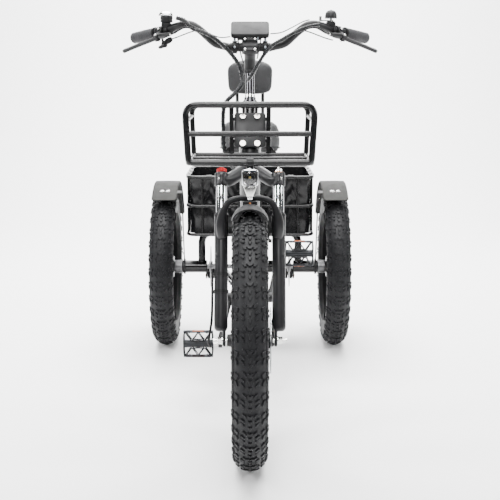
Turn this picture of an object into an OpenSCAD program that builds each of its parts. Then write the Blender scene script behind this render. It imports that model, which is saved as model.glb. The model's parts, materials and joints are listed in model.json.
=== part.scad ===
// Adult electric tricycle with fat tyres, a front rack and a rear basket.
// +Z is up, the front faces -Y and +X is the rider's left.
// The origin is on the floor, midway along the whole length.

/* [Wheels] */
// Distance between the front and rear axles
wheelbase = 1250; // [1200:5:1300]
// Outer radius of the front tyre
front_wheel_r = 347; // [342:1:350]
// Outer radius of the rear tyres
rear_wheel_r = 306; // [303:1:308]
// Distance between the middles of the two rear tyres
rear_track = 654; // [650:1:670]

/* [Steering] */
// Lean of the steering axis from upright, in degrees
head_lean = 20; // [18:0.5:22]
// Distance of the front axle ahead of the steering axis
fork_offset = 45.8; // [44:0.2:48]
// Distance between the middles of the two fork legs
leg_spacing = 158; // [156:1:162]

/* [Drive] */
// Crank arm length
crank_length = 170; // [160:1:175]
// Height of the crank axle above the floor
crank_height = 315; // [310:1:320]
// Distance of the crank axle behind the front axle
crank_setback = 663; // [655:1:670]
// How far the front crank arm points below level, in degrees
crank_angle = 50; // [0:1:60]

/* [Seat] */
// Width of the saddle
saddle_w = 240; // [210:1:260]
// Width of the backrest
backrest_w = 165; // [150:1:200]

/* [Rear basket] */
// Outer width of the rear basket
basket_w = 475; // [450:1:480]
// Outer depth of the rear basket
basket_depth = 400; // [380:1:410]
// Height of the basket's top rim above the floor
basket_top = 683; // [670:1:700]

/* [Hidden] */
$fn = 48;

// Where the axles are, with the origin midway along the whole length
front_y = front_wheel_r - (front_wheel_r + wheelbase + rear_wheel_r) / 2;
rear_y = front_y + wheelbase;
// A point x to the rider's left, d behind the front axle and z above the floor
function at(x, d, z) = [x, front_y + d, z];
function from_list(pts) = [for (p = pts) at(p.x, p.y, p.z)];
bottom_bracket = at(0, crank_setback, crank_height);
rear_axle = [0, rear_y, rear_wheel_r];

// Clearances: fixed parts that lie against each other, and parts that turn or slide
gap = 0.3;
run = 0.05;

// Fork, measured up the steering axis from the front axle
leg_d = 38;
stanchion_d = 30;
leg_x = leg_spacing / 2;
lowers_top = 345;
crown_bottom = 428;
crown_top = 508;
head_bottom = 545;
head_top = 669;
steerer_d = 28.6;
quill_d = 25.4;
bar_clamp = [0, -21.9, 826.3];

// Wheels
front_tyre_r = 49;
rear_tyre_r = 48;
front_rim_r = 253.5;
rear_rim_r = 203;
hub_bore = 12;
shaft_d = 17;
housing_d = 48;
rotor_x = 153;
front_rotor_x = 55.5;

// Seat tube, leaning back at the same angle as the steering axis
seat_tube_len = 400;
post_d = 31.8;

// Chain line and the pitch radii of its four wheels
chain_x = -50;
ring_r = 88.9;
cog_r = 40.4;
pulley_r = 22.2;
pulley_upper = [4.5, -74];
pulley_lower = [-17.5, -131];

// ---------- helpers ----------

module rod(p, q, d) {
    v = q - p;
    translate(p) rotate([0, acos(v.z / norm(v)), atan2(v.y, v.x)]) cylinder(d = d, h = norm(v));
}

// A round bar through a list of points, with a ball at each bend
module bent_bar(pts, d, closed = false) {
    last = len(pts) - 1;
    for (i = [0:last - 1]) rod(pts[i], pts[i + 1], d);
    if (closed) rod(pts[last], pts[0], d);
    for (i = [closed ? 0 : 1:closed ? last : last - 1]) translate(pts[i]) sphere(d = d + 0.4);
}

module sides() {
    children();
    mirror([1, 0, 0]) children();
}

// Turns what is drawn about Z so that it turns about X instead
module about_x() rotate([0, 90, 0]) children();

// The steering axis's own frame, with its origin at the front axle
module steering() translate([0, front_y, front_wheel_r]) rotate([-head_lean, 0, 0]) children();

// The seat tube's own frame, with its origin at the crank axle
module seat_axis() translate(bottom_bracket) rotate([-head_lean, 0, 0]) children();

// A handlebar end's frame: x runs out along the grip, -y is where the brake lever lies
module bar_end() translate(at(250, 322, 1177)) rotate([0, 7.4, 43.9]) rotate([37, 0, 0]) children();

module slab(w, d, r, h) linear_extrude(h) union() {
    square([w - 2 * r, d], center = true);
    square([w, d - 2 * r], center = true);
    for (x = [-1, 1], y = [-1, 1]) translate([x * (w / 2 - r), y * (d / 2 - r)]) circle(r);
}

function unit(v) = v / norm(v);
function curve_point(p, q, r, s, t) = 0.5 * (2 * q + (r - p) * t + (2 * p - 5 * q + 4 * r - s) * t * t
    + (3 * q - p - 3 * r + s) * t * t * t);
function smooth(pts, steps = 2) = let (m = len(pts) - 1) concat(
    [for (i = [0:m - 1], k = [0:steps - 1])
        curve_point(pts[max(i - 1, 0)], pts[i], pts[i + 1], pts[min(i + 2, m)], k / steps)],
    [pts[m]]);
function ring_about(p, t, side, r, n) = let (a = unit(cross(t, side)), b = cross(t, a))
    [for (k = [0:n - 1]) p + r * (cos(360 * k / n) * a + sin(360 * k / n) * b)];

// A cable swept along its route; side is a direction that the route never takes
module cord(pts, d, side, n = 8) {
    m = len(pts);
    rings = [for (i = [0:m - 1])
        each ring_about(pts[i], unit(pts[min(i + 1, m - 1)] - pts[max(i - 1, 0)]), side, d / 2, n)];
    walls = [for (i = [0:m - 2], k = [0:n - 1]) let (a = i * n + k, b = i * n + (k + 1) % n)
        [a, a + n, b + n, b]];
    polyhedron(rings, concat(walls, [[for (k = [0:n - 1]) k]], [[for (k = [n - 1:-1:0]) (m - 1) * n + k]]));
}

// ---------- frame ----------

hoop_top = 442;
seat_stay_end = at(60, 1058, hoop_top);

module stays() {
    sides() {
        rod(at(14, 700, 405), at(46, 860, 432), 22);
        rod(at(46, 860, 432), seat_stay_end, 22);
        translate(at(46, 860, 432)) sphere(d = 22.4);
    }
    bent_bar([at(21.4, 668, 315), at(26, 800, 313), at(60, wheelbase, rear_wheel_r)], 22);
    bent_bar([at(-21.4, 668, 315), at(-26, 800, 313), at(-116, wheelbase, rear_wheel_r)], 22);
}

rack_screw_x = 20.3;
rack_screws = [554, 634];
module rack_screw_holes(d, from, to) steering()
    for (x = [-1, 1], s = rack_screws)
        translate([x * rack_screw_x, to, s]) rotate([90, 0, 0]) cylinder(d = d, h = to - from);

module main_frame() color("#101112") difference() {
    union() {
        steering() translate([0, fork_offset, head_bottom]) cylinder(d = 46, h = head_top - head_bottom);
        steering() translate([-27, 16, 546]) cube([54, 20, 96]);
        rod(at(0, 252, 888), bottom_bracket, 62);
        rod(bottom_bracket, bottom_bracket + seat_tube_len * [0, sin(head_lean), cos(head_lean)], 38);
        rod(at(0, 538, 489), at(0, 735, 510), 34);
        translate(bottom_bracket) about_x() cylinder(d = 66, h = 66, center = true);
        seat_axis() translate([-12, 16, 185]) cube([24, 7.7, 160]);
        stays();
    }
    steering() translate([0, fork_offset, 500]) cylinder(d = 34, h = 200);
    seat_axis() translate([0, 0, 70]) cylinder(d = post_d + 2 * run, h = 400);
    translate(bottom_bracket) about_x() cylinder(d = 34, h = 90, center = true);
    translate(rear_axle) about_x() cylinder(d = housing_d + 2 * gap, h = 560, center = true);
    rack_screw_holes(8.4, 14, 34);
}

module rear_subframe() color("#101112") difference() {
    union() {
        for (span = [[168, 265], [-28, 138], [-138, -95], [-265, -168]])
            translate([span[0], rear_y, rear_wheel_r]) about_x() cylinder(d = housing_d, h = span[1] - span[0]);
        bent_bar([at(-188, wheelbase, rear_wheel_r), at(-188, wheelbase, 412), at(-156, wheelbase, hoop_top),
            at(156, wheelbase, hoop_top), at(188, wheelbase, 412), at(188, wheelbase, rear_wheel_r)], 28);
        sides() rod(at(60, 1060, hoop_top), at(60, 1440, hoop_top), 20);
        rod(at(-66, 1428, hoop_top), at(66, 1428, hoop_top), 19);
        for (x = [-122, 122]) rod(at(x, wheelbase, rear_wheel_r), at(x, wheelbase, hoop_top), 16);
        sides() translate([168.5, rear_y + 12, rear_wheel_r - 52]) cube([6, 60, 40]);
    }
    translate(rear_axle) about_x() cylinder(d = shaft_d + 2 * run, h = 600, center = true);
}

module cup(d, from, to, bore) translate([0, 0, from]) difference() {
    cylinder(d = d, h = to - from);
    translate([0, 0, -1]) cylinder(d = bore, h = to - from + 2);
}

// Headset cups at both ends of the head tube, and bottom bracket cups at both ends of its shell
module bearing_cups() color("#1b1c1e") {
    steering() translate([0, fork_offset, 0]) {
        cup(50, crown_top + 9, head_bottom - gap, steerer_d + 2 * run);
        cup(50, head_top + gap, head_top + 13, steerer_d + 2 * run);
    }
    translate(bottom_bracket) sides() about_x() cup(42, 33 + gap, 41, 17 + 2 * run);
}

// ---------- front rack and lamp ----------

rack_front = -50;
rack_rear = 190;
rack_low = 833;
function arch_loop(half, d, top, taper) = [
    at(-half + taper, d, rack_low), at(-half, d, top - 30), at(-half + 10, d, top - 9),
    at(-half + 32, d, top), at(half - 32, d, top), at(half - 10, d, top - 9),
    at(half, d, top - 30), at(half - taper, d, rack_low)];

module front_rack() color("#0c0d0e") {
    bent_bar(arch_loop(166.5, rack_front, 981, 8), 17, closed = true);
    rod(at(-165, rack_front, 907), at(165, rack_front, 907), 14);
    bent_bar(arch_loop(163, rack_rear, 974, 6), 14, closed = true);
    rod(at(-156, 70, rack_low), at(156, 70, rack_low), 12);
    sides() {
        rod(at(158.5, rack_front, rack_low), at(157, rack_rear, rack_low), 13.2);
        rod(at(165, rack_front, 938), at(162, rack_rear, 942), 12);
        rod(at(52, rack_rear, rack_low), at(52, rack_rear, 974), 12.6);
        for (z = [868, 928]) translate(at(43, 188, z)) cube([10, 40, 9]);
    }
    difference() {
        steering() translate([-44, 10, 544]) cube([88, 5.7, 100]);
        rack_screw_holes(8.4, 0, 20);
    }
}

module rack_bolts() color("#c9cbcd") steering()
    for (x = [-1, 1], s = rack_screws) translate([x * rack_screw_x, 9.7, s]) rotate([-90, 0, 0]) {
        difference() {
            translate([0, 0, -4.5]) cylinder(d = 16, h = 4.5);
            translate([0, 0, -5]) cylinder(d = 6, h = 3, $fn = 6);
        }
        cylinder(d = 8, h = 20);
    }

module headlight() {
    color("#c4c8cc") translate(at(0, -75, 0)) {
        difference() {
            translate([-21, -20, 777]) cube([42, 34, 40]);
            translate([0, -12, 798]) rotate([90, 0, 0]) cylinder(r = 17, h = 12);
        }
        translate([0, -11, 798]) rotate([90, 0, 0]) cylinder(r = 10, h = 6);
        translate([0, 12, 0]) rotate([90, 0, 0]) linear_extrude(22)
            polygon([[-20, 778], [-8, 748], [8, 748], [20, 778]]);
        translate([0, -4, 745]) sphere(r = 7);
        translate([-9, 6, 806]) cube([18, 24, 16]);
    }
    color("#1b1c1e") translate(at(-9, rack_front, rack_low)) about_x() difference() {
        cylinder(d = 26, h = 18);
        translate([0, 0, -1]) cylinder(d = 17 + 2 * gap, h = 20);
    }
}

// ---------- rear basket ----------

basket_tube = 12;
basket_mid_d = 1251;
basket_low = 463;
liner_low = 468;
module basket_loop(z) {
    w = basket_w / 2 - basket_tube / 2;
    d = basket_depth / 2 - basket_tube / 2;
    c = 38;
    translate(at(0, basket_mid_d, z)) {
        for (y = [-d, d]) translate([0, y, 0]) about_x() cylinder(d = basket_tube, h = 2 * (w - c) + 6, center = true);
        for (x = [-w, w]) translate([x, 0, 0]) rotate([90, 0, 0])
            cylinder(d = basket_tube, h = 2 * (d - c) + 6, center = true);
        for (x = [0, 1], y = [0, 1]) mirror([x, 0, 0]) mirror([0, y, 0]) translate([w - c, d - c, 0])
            rotate_extrude(angle = 90) translate([c, 0]) circle(d = basket_tube - 0.4);
    }
}
module rear_basket() color("#0c0d0e") {
    w = basket_w / 2 - basket_tube / 2;
    d = basket_depth / 2 - basket_tube / 2;
    for (z = [basket_low, 570, basket_top - 6]) basket_loop(z);
    for (x = [-176, 0, 176], y = [-d, d])
        rod(at(x, basket_mid_d + y, basket_low), at(x, basket_mid_d + y, basket_top - 6), 9);
    for (x = [-w, w], y = [-120, 0, 120])
        rod(at(x, basket_mid_d + y, basket_low), at(x, basket_mid_d + y, basket_top - 6), 9);
    for (x = [-150, -60, 60, 150]) rod(at(x, basket_mid_d - d, basket_low), at(x, basket_mid_d + d, basket_low), 9);
    for (x = [-60, 60], d = [1110, 1390]) translate(at(x - 8, d, hoop_top + 10 + gap)) cube([16, 24, 8]);
}

module basket_liner() color("#151516") translate(at(0, basket_mid_d, liner_low)) difference() {
    slab(basket_w - 27, basket_depth - 27, 34, basket_top - liner_low - 4);
    translate([0, 0, 3]) slab(basket_w - 33, basket_depth - 33, 31, basket_top);
}

// ---------- fenders ----------

fender_x = 319;
fender_w = 95;
fender_r = 336;
fender_bolt_lean = 22;
module rear_fenders() color("#5c5e5a") difference() {
    sides() translate([fender_x, rear_y, rear_wheel_r]) rotate([32, 0, 0]) rotate([0, -90, 0]) mirror([0, 1, 0])
        rotate_extrude(angle = -92) translate([fender_r - 2, -fender_w / 2]) square([2, fender_w]);
    fender_bolts(6.6, fender_r - 10, fender_r + 10);
}
module fender_bolts(d, from, to) sides() for (x = [-11, 11])
    translate([fender_x + x, rear_y, rear_wheel_r]) rotate([fender_bolt_lean, 0, 0])
        translate([0, 0, from]) cylinder(d = d, h = to - from);

module fender_hardware() color("#2a2b2c") {
    sides() {
        translate([0, rear_y, rear_wheel_r]) rotate([fender_bolt_lean, 0, 0]) {
            translate([254, -10, fender_r - 6]) cube([84, 20, 3.6]);
            translate([254, -10, 25]) cube([4, 20, fender_r - 28]);
        }
    }
    fender_bolts(6, fender_r - 4, fender_r + 1);
    fender_bolts(12, fender_r + 0.5, fender_r + 4);
}

// ---------- battery, controller, seat clamp ----------

module battery() color("#17181a") seat_axis() translate([0, 72, 178]) {
    slab(82, 94, 12, 172);
    translate([0, 0, 172]) slab(66, 78, 10, 10);
}

module controller() color("#3a3c3e") {
    translate(at(-22, 1085, 398)) cube([66, 118, 36]);
    for (i = [0:9]) translate(at(-22, 1090 + 11 * i, 392)) cube([66, 4, 7]);
}

module seat_clamp() color("#1b1c1e") seat_axis() difference() {
    union() {
        translate([0, 0, 372]) cylinder(d = 48, h = 24);
        translate([-8, 18, 374]) cube([16, 20, 20]);
        translate([0, 30, 384]) about_x() cylinder(d = 7, h = 30, center = true);
    }
    translate([0, 0, 360]) cylinder(d = 38 + 2 * gap, h = 50);
    translate([-1.5, 15, 360]) cube([3, 30, 40]);
}

// ---------- chain drive ----------

// The four chain wheels in the plane of the chain: y, z and pitch radius, negative where the
// chain passes clockwise seen from the rider's left
chain_wheels = [
    [bottom_bracket.y, bottom_bracket.z, ring_r],
    [rear_y + pulley_lower[0], rear_wheel_r + pulley_lower[1], pulley_r],
    [rear_y + pulley_upper[0], rear_wheel_r + pulley_upper[1], -pulley_r],
    [rear_y, rear_wheel_r, cog_r]];
chain_pitch = 12.7;
function wheel(i) = chain_wheels[(i + 4) % 4];
function hub_step(i) = [wheel(i + 1)[0] - wheel(i)[0], wheel(i + 1)[1] - wheel(i)[1]];
function run_length(i) = sqrt(pow(norm(hub_step(i)), 2) - pow(wheel(i + 1)[2] - wheel(i)[2], 2));
function run_angle(i) = atan2(hub_step(i)[1], hub_step(i)[0])
    - atan2(wheel(i + 1)[2] - wheel(i)[2], run_length(i));
function wrap(a) = a < 0 ? a + 360 : a >= 360 ? a - 360 : a;
function turn_at(i) = wheel(i)[2] > 0 ? wrap(run_angle(i) - run_angle(i - 1)) : wrap(run_angle(i - 1) - run_angle(i));

// Draws in the chain's plane, with x pointing to the rear and y pointing up
module chain_plane() translate([chain_x, 0, 0]) rotate([90, 0, 90]) children();

// One edge of the chain, set off to the left of its path
function chain_edge(off) = [for (i = [0:3]) let (cw = wheel(i)[2] < 0, turn = turn_at(i),
        r = abs(wheel(i)[2]) + (cw ? off : -off), n = ceil(turn / 10))
    for (k = [0:n]) let (a = run_angle(i - 1) + (cw ? 90 - turn * k / n : turn * k / n - 90))
        [wheel(i)[0] + r * cos(a), wheel(i)[1] + r * sin(a)]];
module chain_strip(half, thick) linear_extrude(thick, center = true) difference() {
    polygon(chain_edge(-half));
    polygon(chain_edge(half));
}
module chain_pins(d, h) for (i = [0:3]) {
    w = wheel(i);
    r = abs(w[2]);
    side = w[2] > 0 ? -90 : 90;
    count = max(1, floor(run_length(i) / chain_pitch));
    for (k = [0:count - 1]) translate([w[0] + r * cos(run_angle(i) + side), w[1] + r * sin(run_angle(i) + side), 0])
        rotate([0, 0, run_angle(i)]) translate([(k + 0.5) * run_length(i) / count, 0, -h / 2]) cylinder(d = d, h = h);
    steps = max(1, floor(r * turn_at(i) * PI / 180 / chain_pitch));
    start = w[2] > 0 ? run_angle(i - 1) - 90 : run_angle(i) + 90;
    for (k = [0:steps - 1]) translate([w[0], w[1], -h / 2]) rotate([0, 0, start + (k + 0.5) * turn_at(i) / steps])
        translate([r, 0, 0]) cylinder(d = d, h = h);
}
module chain() color("#3b3b3a") chain_plane() {
    for (z = [-2.6, 2.6]) translate([0, 0, z]) chain_strip(3.8, 1);
    chain_pins(3, 5);
}

// A toothed wheel about Z: the teeth stay inside the chain's pins
module sprocket(pitch_r, thick, teeth) {
    cylinder(r = pitch_r - 6, h = thick, center = true);
    for (k = [0:teeth - 1]) rotate([0, 0, 360 * k / teeth])
        translate([pitch_r - 8, -2, -thick / 2]) cube([5.8, 4, thick]);
}

module chainring() color("#2c2d2f") translate(bottom_bracket) difference() {
    union() {
        translate([chain_x, 0, 0]) about_x() sprocket(ring_r, 2.4, 44);
        translate([-47.3, 0, 0]) about_x() cylinder(r = 34, h = 3.6, center = true);
    }
    about_x() cylinder(d = 26, h = 200, center = true);
    for (k = [0:4]) rotate([72 * k, 0, 0]) translate([chain_x - 4, 0, 58]) about_x() cylinder(d = 30, h = 12);
}

cog_radii = [56, 51, 46, 40.4, 35, 30.5, 26.5];
module cassette() color("#8d9093") translate(rear_axle) difference() {
    union() {
        for (i = [0:6]) translate([chain_x + 4.8 * (3 - i), 0, 0]) about_x()
            sprocket(cog_radii[i], 1.8, round(cog_radii[i] / 2.021));
        translate([chain_x, 0, 0]) about_x() cylinder(d = 34, h = 36, center = true);
    }
    translate([chain_x, 0, 0]) about_x() cylinder(d = shaft_d + 2 * run, h = 60, center = true);
}

module jockey(centre) color("#1d1e20") translate([chain_x, rear_y + centre[0], rear_wheel_r + centre[1]])
    about_x() difference() {
        sprocket(pulley_r, 2.3, 11);
        cylinder(d = 5 + 2 * run, h = 10, center = true);
    }
module jockey_upper() jockey(pulley_upper);
module jockey_lower() jockey(pulley_lower);

module derailleur() color("#55585b") {
    upper = [rear_y + pulley_upper[0], rear_wheel_r + pulley_upper[1]];
    lower = [rear_y + pulley_lower[0], rear_wheel_r + pulley_lower[1]];
    for (p = [upper, lower]) translate([chain_x, p[0], p[1]]) about_x() cylinder(d = 5, h = 18, center = true);
    for (x = [-8.5, 6.5]) translate([chain_x + x, upper[0], upper[1]])
        rotate([atan2(lower[1] - upper[1], lower[0] - upper[0]), 0, 0]) {
            translate([0, 0, -6]) cube([2, norm(lower - upper), 12]);
            for (y = [0, norm(lower - upper)]) translate([0, y, 0]) about_x() cylinder(r = 10, h = 2);
        }
    rod([chain_x - 8, upper[0], upper[1]], [chain_x - 26, upper[0] + 4, upper[1] + 8], 20);
    rod([chain_x - 26, upper[0] + 4, upper[1] + 8], [-89, upper[0] + 2, rear_wheel_r - 30], 16);
    translate([-94.7, rear_y, rear_wheel_r]) difference() {
        union() {
            about_x() cylinder(d = housing_d, h = 6);
            translate([0, -10, -42]) cube([6, 22, 30]);
        }
        translate([-1, 0, 0]) about_x() cylinder(d = 18.4, h = 10);
    }
}

module rear_calipers() color("#17181a") sides() translate([rotor_x, rear_y, rear_wheel_r]) difference() {
    translate([-12, 40, -58]) cube([27.2, 52, 52]);
    translate([-3, 30, -70]) cube([6, 54, 80]);
}

// ---------- steering head ----------

module fork_crown() color("#17181a") steering() difference() {
    union() {
        for (x = [-1, 1]) hull() {
            translate([x * leg_x, 0, crown_bottom]) cylinder(r = 18.5, h = 38, $fn = 32);
            translate([x * 44, 24, crown_bottom + 6]) cylinder(r = 15, h = 32, $fn = 32);
        }
        for (x = [-1, 1]) hull() {
            translate([x * 44, 24, crown_bottom + 6]) cylinder(r = 15, h = 32, $fn = 32);
            translate([0, fork_offset, crown_top - 34]) cylinder(r = 24, h = 34, $fn = 32);
        }
        translate([0, fork_offset, crown_top - 20]) cylinder(d = steerer_d, h = 200);
        translate([0, fork_offset, crown_top]) cylinder(d = 44, h = 8);
    }
    translate([0, fork_offset, 600]) cylinder(d = quill_d + 0.2, h = 200);
    for (x = [-1, 1]) translate([x * leg_x, 0, crown_bottom - 5]) cylinder(d = stanchion_d + 0.1, h = 38);
}

// Chrome tubes held in the crown, with the damper's cap on the left leg
module stanchions() color("#d0d2d4") steering() {
    for (x = [-1, 1]) translate([x * leg_x, 0, 150]) cylinder(d = stanchion_d, h = 310);
    translate([leg_x, 0, crown_bottom + 38.3]) {
        cylinder(d = 22, h = 5);
        translate([6, 0, 0]) cylinder(d = 9, h = 11);
    }
    translate([-leg_x, 0, crown_bottom + 38.3]) cylinder(d = 16, h = 2);
}

module lockout_knob() color("#b3161c") steering() translate([-leg_x, 0, crown_bottom + 40.7]) {
    cylinder(d = 25, h = 9);
    for (k = [0:11]) rotate([0, 0, 30 * k]) translate([12, 0, 0]) cylinder(d = 4, h = 9, $fn = 16);
    cylinder(d = 16, h = 12);
}

// Chrome quill with the headset's locknut
module quill() color("#d0d2d4") steering() translate([0, fork_offset, 0]) {
    translate([0, 0, 612]) cylinder(d = quill_d, h = 194);
    difference() {
        union() {
            translate([0, 0, head_top + 13.3]) cylinder(d = 42, h = 6);
            translate([0, 0, head_top + 19.3]) cylinder(d = 34, h = 10);
        }
        translate([0, 0, 600]) cylinder(d = steerer_d + 0.4, h = 108.6);
    }
}

// Forged stem: a tapering arm from the quill to the clamp that holds the handlebar
module stem() color("#151617") steering() difference() {
    union() {
        hull() {
            translate([0, fork_offset, 770]) cylinder(d = 32, h = 34, $fn = 32);
            translate([0, 12, 812]) about_x() cylinder(d = 30, h = 38, center = true, $fn = 32);
        }
        hull() {
            translate([0, 12, 812]) about_x() cylinder(d = 30, h = 38, center = true, $fn = 32);
            translate(bar_clamp) about_x() cylinder(d = 38, h = 46, center = true, $fn = 32);
        }
        translate(bar_clamp) about_x() cylinder(d = 40, h = 46, center = true);
    }
    translate(bar_clamp) about_x() cylinder(d = 25.6, h = 60, center = true);
    translate([0, fork_offset, 700]) cylinder(d = quill_d + 0.2, h = 106.2);
}

bar_bends = [[99, 262, 1140], [119, 262, 1159], [141, 262, 1179], [161, 262, 1192], [180, 263, 1195],
    [205, 278, 1190]];
grip_axis = [0.7145, 0.6877, -0.1288];
bar_knee = at(250, 322, 1177);
bar_tip = bar_knee + 126 * grip_axis;
module handlebar() color("#1a1b1c") {
    rod(at(-72, 262, 1131), at(72, 262, 1131), 25.4);
    sides() bent_bar(concat([at(60, 262, 1131)], from_list(bar_bends), [bar_knee - 30 * grip_axis, bar_tip]), 22.2);
}

module grips() color("#6d6e70") sides() bar_end() difference() {
    translate([31, 0, 0]) about_x() cylinder(d = 32, h = 99);
    translate([0, 0, 0]) about_x() cylinder(d = 22.6, h = 127.5);
}

lever_pivot = [2, -30, 0];
module brake_perches() color("#17181a") sides() bar_end() difference() {
    union() {
        translate([-9, 0, 0]) about_x() cylinder(d = 32, h = 18);
        translate([-11, -38, -9]) cube([20, 30, 18]);
        translate([-40, -34, -6]) cube([30, 14, 12]);
    }
    translate([-20, 0, 0]) about_x() cylinder(d = 22.6, h = 60);
    translate([-6, -50, -4.4]) cube([30, 32, 8.8]);
    translate(lever_pivot) cylinder(d = 5.2, h = 40, center = true);
}

// A brake lever, with its pivot pin
module brake_lever() bar_end() {
    translate(lever_pivot) {
        cylinder(d = 5.1, h = 17, center = true);
        cylinder(r = 7, h = 8, center = true);
        rotate([0, 0, -17]) translate([3.5, -5, -3.8]) cube([56, 10, 7.6]);
    }
    translate(lever_pivot) rotate([0, 0, -17]) translate([56, -6, -3.5]) cube([64, 9, 7]);
    translate(lever_pivot) rotate([0, 0, -17]) translate([120, -1.5, -3.5]) cylinder(r = 6, h = 7);
}
module brake_lever_left() color("#202123") brake_lever();
module brake_lever_right() color("#202123") mirror([1, 0, 0]) brake_lever();

module clamp_ring(w) difference() {
    translate([0, 0, -w / 2]) cylinder(d = 30, h = w);
    cylinder(d = 22.8, h = w + 10, center = true);
}

// Gear shifter: its clamp, round case and clear indicator dome
module shifter() {
    color("#17181a") {
        translate(at(-238, 304, 1201)) cylinder(r = 17.5, h = 18);
        rod(at(-236, 304, 1193.5), at(-238, 304, 1202), 10);
    }
    color("#d7dadc") translate(at(-240, 304, 1219.3)) cylinder(r1 = 21, r2 = 15, h = 14);
    color("#17181a") mirror([1, 0, 0]) bar_end() {
        translate([-24, 0, 0]) about_x() clamp_ring(14);
        rod([-24, -11, -10], [-24, -22, -11], 9);
        translate([-24, -22, -15.7]) cylinder(d = 9, h = 6);
    }
}
module shift_lever() color("#26272a") mirror([1, 0, 0]) bar_end() translate([-24, -22, -24]) {
    cylinder(d = 12, h = 8);
    translate([-5, -26, 0]) cube([10, 26, 8]);
    translate([-7, -36, 1]) cube([22, 12, 6]);
}
module throttle_clamp() color("#17181a") mirror([1, 0, 0]) bar_end() translate([20, 0, 0]) about_x() clamp_ring(7);

// Thumb throttle: a ring that turns on the bar, with its paddle below
module throttle_lever() color("#26272a") mirror([1, 0, 0]) bar_end() translate([13, 0, 0]) {
    about_x() difference() {
        cylinder(d = 29, h = 6, center = true);
        cylinder(d = 22.6, h = 20, center = true);
    }
    rotate([-20, 0, 0]) {
        translate([-2.8, -4, -34]) cube([5.6, 8, 21]);
        translate([0, 0, -38]) about_x() cylinder(d = 17, h = 12, center = true);
    }
}

bell_foot = at(222, 294, 0);
module bell() color("#17181a") {
    translate(bell_foot + [8, 0, 1212]) difference() {
        cylinder(r = 17.5, h = 23);
        translate([0, 0, -1]) cylinder(r = 15, h = 20);
    }
    translate(bell_foot + [8, 0, 1198]) cylinder(r = 3.5, h = 33);
    rod(at(233, 305, 1195), at(230, 295, 1200), 7);
    bar_end() translate([-24, 0, 0]) about_x() clamp_ring(12);
}
module bell_striker() color("#c9cbcd") translate(bell_foot + [8, 0, 1204]) difference() {
    union() {
        cylinder(r = 7, h = 3.4);
        translate([-30, -4, 0]) cube([26, 8, 3.4]);
        translate([-30, 0, 0]) cylinder(r = 4, h = 14);
    }
    translate([0, 0, -1]) cylinder(r = 3.5 + run, h = 6);
}

display_lean = 50;
module display() {
    color("#17181a") translate(at(0, 268, 1178)) rotate([-display_lean, 0, 0]) {
        translate([-54, -9, -30]) cube([108, 18, 60]);
    }
    color("#70777e") sides() rod(at(43, 262, 1148), at(43, 262, 1165), 9);
    color("#17181a") {
        sides() translate(at(43, 262, 1131)) about_x() difference() {
            cylinder(d = 36, h = 14, center = true);
            cylinder(d = 26, h = 20, center = true);
        }
        translate(at(-37, 248, 1151.6)) cube([70, 14, 16.4]);
    }
}

harness_left = [[-206, 250, 1211], [-184, 245, 1204], [-162, 241, 1183], [-131, 238, 1172], [-98, 237, 1154],
    [-72, 236, 1132], [-46, 236, 1104], [-28, 234, 1074], [-22, 228, 1046], [-24, 222, 1026],
    [-42, 214, 1004], [-66, 208, 980], [-75, 206, 950], [-75, 206, 900], [-74, 207, 860], [-68, 216, 826],
    [-52, 248, 796], [-42, 284, 778], [-34, 308, 768]];
harness_right = [[195, 249, 1193], [159, 243, 1186], [126, 239, 1172], [90, 237, 1152], [62, 236, 1135],
    [38, 235, 1108], [20, 233, 1080], [6, 230, 1056], [-6, 226, 1038]];
module cable_harness() color("#26282a") {
    cord(smooth(from_list(harness_left)), 14, [0, 1, 0.2]);
    cord(smooth(from_list(harness_right)), 12, [0, 1, 0.2]);
}

// ---------- fork lowers ----------

module fork_lowers() color("#1c1d1f") steering() difference() {
    union() {
        for (x = [-1, 1]) {
            translate([x * leg_x, 0, 26]) cylinder(d = leg_d, h = lowers_top - 26);
            translate([x * 70 - 3, -14, -16]) cube([6, 28, 60]);
        }
        sides() bent_bar([[84, -16, 285], [76, -38, 338], [56, -46, 374], [30, -46, 383]], 22);
        rod([-34, -46, 383.5], [34, -46, 383.5], 14);
        rod([70, 12, 60], [64, 53, 34], 12);
    }
    for (x = [-1, 1]) translate([x * leg_x, 0, 92]) cylinder(d = stanchion_d + 2 * run, h = 400);
    about_x() cylinder(d = hub_bore + 0.2, h = 200, center = true);
}

module front_caliper() color("#17181a") steering() difference() {
    translate([46, 58, -10]) cube([21, 42, 58]);
    translate([52.5, 40, -30]) cube([6, 52, 90]);
}

fender_arc_r = 52;
module front_fender() color("#26282a") {
    translate([0, front_y, front_wheel_r]) rotate([-7, 0, 0]) rotate([0, -90, 0]) mirror([0, 1, 0])
        rotate_extrude(angle = -52) difference() {
            intersection() {
                translate([317, 0]) circle(fender_arc_r);
                translate([334, -60]) square([60, 120]);
            }
            translate([317, 0]) circle(fender_arc_r - 2.5);
        }
    sides() rod(at(4.5, 63, 707), at(4.5, 65, 717), 3);
    translate(at(-20, 80, 699)) cube([40, 16, 16.7]);
    rod(at(48, 82, 676), at(53, 98, 604), 4);
    translate(at(51, 98, 604)) about_x() cylinder(d = 8, h = 8.9);
}

module front_axle() color("#c9cbcd") translate([0, front_y, front_wheel_r]) {
    about_x() cylinder(d = hub_bore, h = 200, center = true);
    sides() {
        translate([73.3, 0, 0]) about_x() cylinder(d = 24, h = 3);
        translate([76, 0, 0]) about_x() cylinder(r = 10.4, h = 12, $fn = 6);
    }
}

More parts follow.
